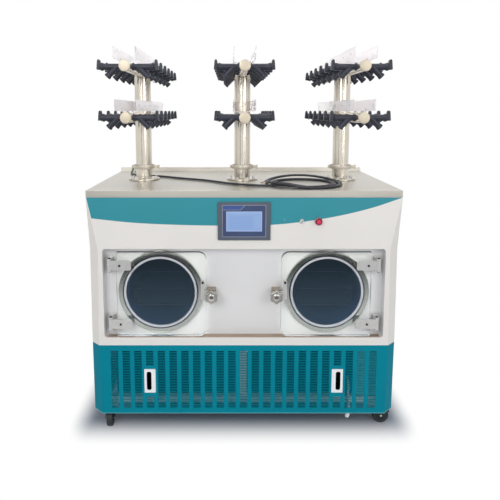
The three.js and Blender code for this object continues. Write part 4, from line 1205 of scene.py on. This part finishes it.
signal_red = finish("signal_red", srgb(140, 4, 34), 0.28, patch=40, fade=0.1, pitch=1800)
# The pink is a painted highlight for the stop button's face.
stop_painted_highlight = finish("stop_painted_highlight", srgb(214, 60, 96), 0.25, patch=60, fade=0.15, pitch=1800)
chrome = finish("chrome", srgb(214, 216, 218), 0.10, metallic=1.0, patch=50, fade=0.12)
low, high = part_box("stop_button")
middle = (low + high) / 2
head = turned([(0, 0.0009), (0.0086, 0.0012), (0.0094, 0.0004), (0.0120, 0), (0.0142, 0.0014),
               (0.0150, 0.0042), (0.0148, 0.0100), (0.0136, 0.0118), (0.0090, 0.0120),
               (0.0090, high.y - low.y), (0, high.y - low.y)], (middle.x, low.y, middle.z), "Y", 48)
settle(head, "stop_head", signal_red, "stop_button", ("stop_button",), 30)
# The middle of the stop button's face gets the painted highlight.
painted(head, stop_painted_highlight, lambda face: face.center.y < low.y + 0.0016
        and math.hypot(face.center.x - middle.x, face.center.z - middle.z) < 0.0085)
ring = turned([(0.0152, -0.0008), (0.0164, -0.0010), (0.0170, 0), (0.0170, 0.0030), (0.0152, 0.0030)],
              (middle.x, FRONT - COLLAR_HEIGHT, middle.z), "Y", 48)
settle(ring, "stop_collar", chrome)

low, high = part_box("selector_switch")
middle = (low + high) / 2
body_front = FRONT - 0.0073
body = turned([(0, 0.0006), (0.0070, 0.0002), (0.0088, 0), (0.0100, 0.0012), (0.0100, 0.0070),
               (0.0040, 0.0070), (0.0040, high.y - body_front), (0, high.y - body_front)],
              (middle.x, body_front, middle.z), "Y", 40)
handle = block((-0.0092, low.y, -0.0028), (0.0092, body_front + 0.0010, 0.0028), 0.0014, 3)
handle.rotation_euler.y = -math.pi / 4
handle.location = (middle.x, 0, middle.z)
settle(handle, "selector_handle", cast_steel, "selector_switch")
settle(body, "selector_body", chrome, "selector_switch", ("selector_switch",))

INDICATOR_X, INDICATOR_Z, INDICATOR_DEPTH = 0.173, 0.970, 0.0024
lens_look = finish("lens_teal", srgb(74, 150, 170), 0.2, patch=60, fade=0.15)
lens = turned([(0, 0), (0.0040, 0.0002), (0.0058, 0.0012), (0.0064, INDICATOR_DEPTH),
               (0, INDICATOR_DEPTH)], (INDICATOR_X, FRONT - INDICATOR_DEPTH, INDICATOR_Z), "Y", 28)
settle(lens, "indicator_lens", lens_look)

# ---- Towers ----------------------------------------------------------------------------------
# Three stainless towers. Each has a bolted foot, a hinged clamp closed by a wing nut, and above it
# a column that carries two header pipes along the cabinet's depth. Every header has a round cap
# at each end, a translucent label plate on either side, and six black rubber valves a side.

tube_steel = finish("tube_steel", srgb(214, 207, 194), 0.22, metallic=0.9, patch=7, fade=0.10,
                    pitch=240, stretch=(1, 1, 0.02), spread=0.10, relief=0.00001)
cap_steel = finish("cap_steel", srgb(206, 195, 174), 0.4, metallic=0.4, patch=24, fade=0.10,
                   pitch=700, spread=0.2)
rubber = finish("valve_rubber", srgb(36, 39, 54), 0.42, patch=26, fade=0.25, pitch=1300,
                spread=0.15, relief=0.00006)

VALVES, VALVE_PITCH, FIRST_VALVE = 6, 0.147, -0.3675    # in a row, from front to back
VALVE_ROOT, VALVE_MOUTH, VALVE_END = 0.019, 0.109, 0.1245       # out from the header's middle
HEADER_DROP, HEADER_GAP = 0.076, 0.210  # from the top to the upper header, and to the lower one
HEADER_HALF, CAP_Y = 0.436, 0.4325      # half of a header's length, and where its caps sit
clamp_steel = finish("clamp_steel", srgb(202, 193, 180), 0.3, metallic=0.6, patch=25, fade=0.15,
                     pitch=500, stretch=(0.1, 1, 1), spread=0.15, relief=0.00001)
frosted = acrylic_look("frosted_acrylic", srgb(254, 250, 252), 0.9, 0.42, 0.1)


def turned_about(piece, angle, axis, centre):
    # Turns a piece about a point and puts the turn into its mesh.
    picked(piece)
    bpy.ops.transform.rotate(value=angle, orient_axis=axis, center_override=centre)
    bpy.ops.object.transform_apply(location=True, rotation=True, scale=True)
    return piece


def mirrored(half, middle=()):
    # A section of (radius, height) points, from its lower half, with the same above.
    return [*half, *middle, *[(radius, -height) for radius, height in reversed(half)]]


def tower_foot(name, x):
    # A flange and neck in one, held down by eight dome nuts.
    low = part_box(f"tower_base_{name}")[0]
    foot = turned([(0.036, 0), (0.073, 0), (0.075, 0.001), (0.075, 0.007), (0.074, 0.008),
                   (0.045, 0.008), (0.0415, 0.0090), (0.0392, 0.0120), (0.0390, 0.0560),
                   (0.0398, 0.0590), (0.0455, 0.0630), (0.0455, 0.0650), (0.036, 0.0650)],
                  (x, 0, low.z), "Z", 72)
    settle(foot, f"tower_foot_{name}", tube_steel, stands_for=(f"tower_base_{name}",),
           smooth=30)
    nuts, count, bolt_circle = [], 8, 0.0605
    for i in range(count):
        turn = math.tau * (i + 0.5) / count
        spot = (x + bolt_circle * math.cos(turn), bolt_circle * math.sin(turn), low.z + 0.008)
        nuts.append(turned([(0, 0.0105), (0.0022, 0.0100), (0.0030, 0.0085), (0.0030, 0.0062),
                            (0.0058, 0.0058), (0.0062, 0.0050), (0.0062, 0.0012), (0.0075, 0.0010),
                            (0.0075, 0), (0, 0)], spot, "Z", 12))
    settle(joined(nuts), f"foot_bolts_{name}", machined)


def joint_clamp(name, x):
    # A ring with a hinge on one side, and on the other two lugs, a swing bolt and its wing nut.
    low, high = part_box(f"tower_clamp_{name}")
    middle = (low.z + high.z) / 2 + 0.001
    half = 0.009
    ring = turned(mirrored([(0.0470, -half + 0.001), (0.0515, -half), (0.0535, -half + 0.002),
                            (0.0540, -half + 0.005)]), (x, 0, middle), "Z", 64)
    hinge = turned(mirrored([(0, -0.0070), (0.0040, -0.0070), (0.0044, -0.0060)]),
                   (x - 0.0570, 0, middle), "Z", 16)
    stub = block((x - 0.0600, -0.0055, middle - 0.0055), (x - 0.0500, 0.0055, middle + 0.0055), 0.0012)
    lugs = [block((x + 0.0510, y0, middle - 0.0068), (x + 0.0660, y0 + 0.0045, middle + 0.0068), 0.0014)
            for y0 in (-0.0070, 0.0025)]
    bolt_root = (x + 0.0520, 0, middle)
    swing = turned([(0, -0.0020), (0.0026, -0.0020), (0.0026, 0.0240), (0, 0.0240)], bolt_root, "X", 14)
    nut = turned([(0, 0.0100), (0.0062, 0.0100), (0.0066, 0.0112), (0.0050, 0.0190), (0, 0.0200)],
                 bolt_root, "X", 20)
    wings = [slab([(x + 0.0600, middle + 0.0010), (x + 0.0690, middle + 0.0010),
                   (x + 0.0775, middle + reach * 0.55), (x + 0.0770, middle + reach * 0.95),
                   (x + 0.0720, middle + reach), (x + 0.0640, middle + reach * 0.60)],
                  -0.0022, 0.0022) for reach in (0.0086, -0.0118)]
    for wing in wings:
        rounded(wing, 0.0009)
    settle(joined([ring, hinge, stub, *lugs, swing, nut, *wings]), f"joint_clamp_{name}", clamp_steel,
           stands_for=(f"tower_clamp_{name}",))


def column_and_headers(name, x, foot, axes):
    # The column, the two header pipes it carries, a weld bead under the upper one, and four caps.
    height = axes[1] - 0.006 - foot
    pieces = [turned([(0.0360, 0), (0.0455, 0), (0.0455, 0.0020), (0.0400, 0.0055), (0.0390, 0.0085),
                      (0.0390, height - 0.010), (0.0360, height - 0.003), (0.0200, height),
                      (0, height), (0, height - 0.004), (0.0360, height - 0.012)],
                     (x, 0, foot), "Z", 72)]
    for z in axes:
        pieces.append(turned(mirrored([(0.0180, -HEADER_HALF + 0.0005), (0.0208, -HEADER_HALF),
                                       (0.0210, -HEADER_HALF + 0.0010)]), (x, 0, z), "Y", 48))
    pieces.append(turned([(0.0390, 0), (0.0405, 0.0012), (0.0390, 0.0024)],
                         (x, 0, axes[1] - 0.025), "Z", 48))
    settle(joined(pieces), f"column_{name}", tube_steel,
           stands_for=(f"manifold_{name}",), smooth=30)
    caps = [turned([(0, end * 0.0072), (0.0060, end * 0.0074), (0.0205, end * 0.0070),
                    (0.0228, end * 0.0058), (0.0234, end * 0.0040), (0.0234, 0.0000),
                    (0.0212, -end * 0.0060), (0, -end * 0.0060)], (x, end * CAP_Y, z), "Y", 40)
            for z in axes for end in (-1, 1)]
    settle(joined(caps), f"header_caps_{name}", cap_steel)


def label_plates(name, x, axes):
    # A long plate on either side of each header, pinned over every valve, on folded brackets.
    plates, brackets, pins = [], [], []
    for z in axes:
        for side in (-1, 1):
            middle = x + side * 0.044
            plates.append(block((middle - 0.001, -0.438, z + 0.028), (middle + 0.001, 0.438, z + 0.0755),
                                0.0006))
            for i in range(VALVES):
                pins.append(turned([(0, side * 0.0021), (0.0014, side * 0.0019),
                                    (0.0020, side * 0.0010), (0.0020, 0), (0, 0)],
                                   (x + side * 0.0444, FIRST_VALVE + VALVE_PITCH * i, z + 0.052), "X", 10))
        for y in (-0.294, 0.294):
            for x0, x1, half, z0, z1, edge in ((-0.0425, 0.0425, 0.005, 0.0225, 0.0255, 0.0006),
                                               (-0.0080, 0.0080, 0.007, 0.0185, 0.0240, 0.0012),
                                               (-0.0437, -0.0422, 0.005, 0.0225, 0.0420, 0.0005),
                                               (0.0413, 0.0428, 0.005, 0.0225, 0.0420, 0.0005)):
                brackets.append(block((x + x0, y - half, z + z0), (x + x1, y + half, z + z1), edge))
    settle(joined(plates), f"label_plates_{name}", frosted)
    settle(joined(brackets), f"plate_brackets_{name}", machined)
    settle(joined(pins), f"plate_pins_{name}", dark_screw)


def valve_body(x, y, z, side):
    # The body along X with its neck ring and mouth, and the hooked branch that takes a flask.
    reach = VALVE_MOUTH - VALVE_ROOT
    section = [(0, 0), (0.0152, 0), (0.0158, 0.0015), (0.0158, 0.0075), (0.0148, 0.0090),
               (0.0126, 0.0105), (0.0122, 0.0160), (0.0130, 0.0240), (0.0132, reach - 0.0220),
               (0.0138, reach - 0.0120), (0.0162, reach - 0.0070), (0.0170, reach - 0.0030),
               (0.0166, reach), (0, reach)]
    body = turned([(r, side * h) for r, h in section], (x + side * VALVE_ROOT, y, z), "X", 20)
    elbow = (x + side * 0.044, y, z)
    branch = turned([(0, 0), (0.0132, 0), (0.0134, -0.0340), (0.0128, -0.0420), (0.0128, -0.0490),
                     (0.0146, -0.0520), (0.0148, -0.0570), (0.0138, -0.0590), (0.0092, -0.0590),
                     (0.0080, -0.0450), (0, -0.0450)], elbow, "Z", 20)
    turned_about(branch, side * math.pi / 4, "Y", elbow)
    web = slab([(x + side * out, z + rise) for out, rise in (
        (0.034, 0), (0.036, -0.012), (0.046, -0.020), (0.066, -0.022), (0.078, -0.026),
        (0.094, -0.012), (0.098, 0))], y - 0.0045, y + 0.0045)
    rounded(web, 0.0015)
    return joined([body, branch, web])


def valve_handle(x, y, z, side):
    # The knob at a valve's end: a ribbed collar and an upright tapered fin.
    root = VALVE_MOUTH + 0.0003
    collar = turned([(r, side * h) for r, h in (
        (0, 0), (0.0128, 0), (0.0140, 0.0014), (0.0140, 0.0068), (0.0124, 0.0084), (0, 0.0084))],
        (x + side * root, y, z), "X", 20)
    fin = slab([(x + side * out, z + rise) for out, rise in (
        (root + 0.0010, -0.0115), (VALVE_END + 0.0010, -0.0125), (VALVE_END + 0.0030, -0.0100),
        (VALVE_END + 0.0010, 0.0140), (VALVE_END - 0.0002, 0.0250), (VALVE_END - 0.0022, 0.0290),
        (VALVE_END - 0.0058, 0.0300), (VALVE_END - 0.0094, 0.0285), (VALVE_END - 0.0112, 0.0245),
        (root + 0.0024, 0.0140), (root + 0.0010, 0.0120))], y - 0.0105, y + 0.0105)
    rounded(fin, 0.0022)
    return joined([collar, fin])


def valves(name, x, axes):
    # Both rows of valves on each header. The front right one below has a knob of its own, which
    # turns, so that row of fixed knobs starts one valve further back.
    along = (0, VALVE_PITCH, 0)
    for level, z in zip(("lower", "upper"), axes):
        rows = []
        for side in (-1, 1):
            own = int(side > 0 and level == "lower")
            rows.append(repeated(valve_body(x, FIRST_VALVE, z, side), VALVES, along))
            rows.append(repeated(valve_handle(x, FIRST_VALVE + VALVE_PITCH * own, z, side),
                                 VALVES - own, along))
        settle(joined(rows), f"valves_{name}_{level}", rubber, smooth=45)
    settle(valve_handle(x, FIRST_VALVE, axes[0], 1), f"valve_handle_{name}", rubber,
           f"valve_knob_{name}", (f"valve_knob_{name}",), 45)


for name in ("left", "centre", "right"):
    low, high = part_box(f"tower_base_{name}")
    x = ((low + high) / 2).x
    low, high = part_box(f"manifold_{name}")
    axes = (high.z - HEADER_DROP - HEADER_GAP, high.z - HEADER_DROP)
    tower_foot(name, x)
    joint_clamp(name, x)
    column_and_headers(name, x, low.z, axes)
    label_plates(name, x, axes)
    valves(name, x, axes)

# ---- Casters ---------------------------------------------------------------------------------
# Four swivel casters in black. Each has a race under its foot plate, a pressed fork, a rubber
# wheel on a zinc axle bolt, and, on the two in front, a ribbed brake pedal.

AXLE, AXLE_Z, AXLE_LENGTH = 0.028, 0.0375, 0.036    # the axle trails the swivel by its first size
CHEEK_GAP, CHEEK = 0.0145, 0.004        # from the middle to a cheek, and a cheek's thickness
PLATE_TOP = 0.0900
tyre_rubber = finish("tyre_rubber", srgb(18, 34, 36), 0.38, patch=40, fade=0.3, pitch=900)
fork_black = finish("fork_black", srgb(12, 16, 19), 0.35, metallic=0.2, patch=40, fade=0.3, pitch=1200)


def caster_fork():
    # A bridge and two cheeks under a ball race that is pressed in two halves.
    wide = CHEEK_GAP + CHEEK
    fork = [block((-0.020, -wide, PLATE_TOP - 0.0055), (0.034, wide, PLATE_TOP), 0.0015, 3)]
    toe = [(AXLE + 0.0098 * math.cos(math.radians(t)), AXLE_Z + 0.0098 * math.sin(math.radians(t)))
           for t in (215, 240, 270, 300, 325)]
    cheek = [(-0.020, 0.0895), (-0.0195, 0.0760), (0.0040, 0.0440), (0.0160, 0.0300), *toe,
             (0.0385, 0.0440), (0.0345, 0.0760), (0.0340, 0.0895)]
    for y0 in (-wide, CHEEK_GAP):
        plate = slab(cheek, y0, y0 + CHEEK)
        rounded(plate, 0.0009)
        fork.append(plate)
    fork.append(turned([(0, -0.0035), (0.0215, -0.0035), (0.0235, -0.0010), (0.0260, 0.0000),
                        (0.0280, 0.0010), (0.0280, 0.0040), (0.0255, 0.0046), (0.0255, 0.0056),
                        (0.0275, 0.0062), (0.0275, 0.0092), (0.0240, 0.0096), (0, 0.0096)],
                       (0, 0, PLATE_TOP), "Z", 40))
    return fork


def brake_pedal():
    # A bent pad with ribs across it, between two flanks.
    pad = slab([(0.024, 0.0805), (0.0455, 0.0800), (0.0648, 0.0600), (0.0664, 0.0602), (0.0670, 0.0618),
                (0.0490, 0.0836), (0.0472, 0.0846), (0.024, 0.0850)], -0.0145, 0.0145)
    rounded(pad, 0.0012, 2, 30)
    ribs = repeated(block((0.0490, -0.0125, 0.0842), (0.0508, 0.0125, 0.0858), 0.0004), 6, (0.0036, 0, 0))
    turned_about(ribs, -math.pi / 4, "Y", (0.0482, 0, 0.0842))
    pedal = [pad, ribs]
    for y0 in (-0.0155, 0.0133):
        flank = slab([(0.0400, 0.0838), (0.0475, 0.0834), (0.0665, 0.0618), (0.0652, 0.0530),
                      (0.0585, 0.0560), (0.0480, 0.0700), (0.0400, 0.0745)], y0, y0 + 0.0022)
        rounded(flank, 0.0006)
        pedal.append(flank)
    return pedal


def axle_bolt():
    # The axle's shank and its two domed ends.
    heads = [turned([(0, end * 0.0207), (0.0030, end * 0.0206), (0.0052, end * 0.0196),
                     (0.0058, end * 0.0184), (0, end * 0.0184)], (AXLE, 0, AXLE_Z), "Y", 20)
             for end in (-1, 1)]
    shank = turned(mirrored([(0, -AXLE_LENGTH / 2), (0.0045, -AXLE_LENGTH / 2)]),
                   (AXLE, 0, AXLE_Z), "Y", 20)
    return joined([*heads, shank])


def caster_wheel():
    # A tyre with a round tread on a dished wheel with a hub.
    return turned(mirrored([(0.0054, -0.0130), (0.0100, -0.0130), (0.0115, -0.0110), (0.0240, -0.0095),
                            (0.0290, -0.0112), (0.0340, -0.0125), (0.0362, -0.0108),
                            (0.0372, -0.0060)], [(0.0375, 0.0000)]), (AXLE, 0, AXLE_Z), "Y", 56)


corners = {"front_left": (-0.608, -0.295, -90), "front_right": (0.608, -0.295, 0),
           "rear_left": (-0.608, 0.295, 90), "rear_right": (0.608, 0.295, 90)}
for name, (x, y, heading) in corners.items():
    fork_body, wheel_body = f"caster_fork_{name}", f"caster_wheel_{name}"
    casting = joined(caster_fork() + (brake_pedal() if name.startswith("front") else []))
    for piece, label, look, slot, body, stands_for in (
            (casting, "fork", fork_black, "black_plastic", fork_body, (fork_body,)),
            (axle_bolt(), "axle", zinc, "polished_steel", fork_body, ()),
            (caster_wheel(), "wheel", tyre_rubber, "black_plastic", wheel_body, (wheel_body,))):
        turned_about(piece, -math.radians(heading), "Z", (0, 0, 0))
        piece.location = (x, y, 0)
        settle(piece, f"{label}_{name}", look, body, stands_for)
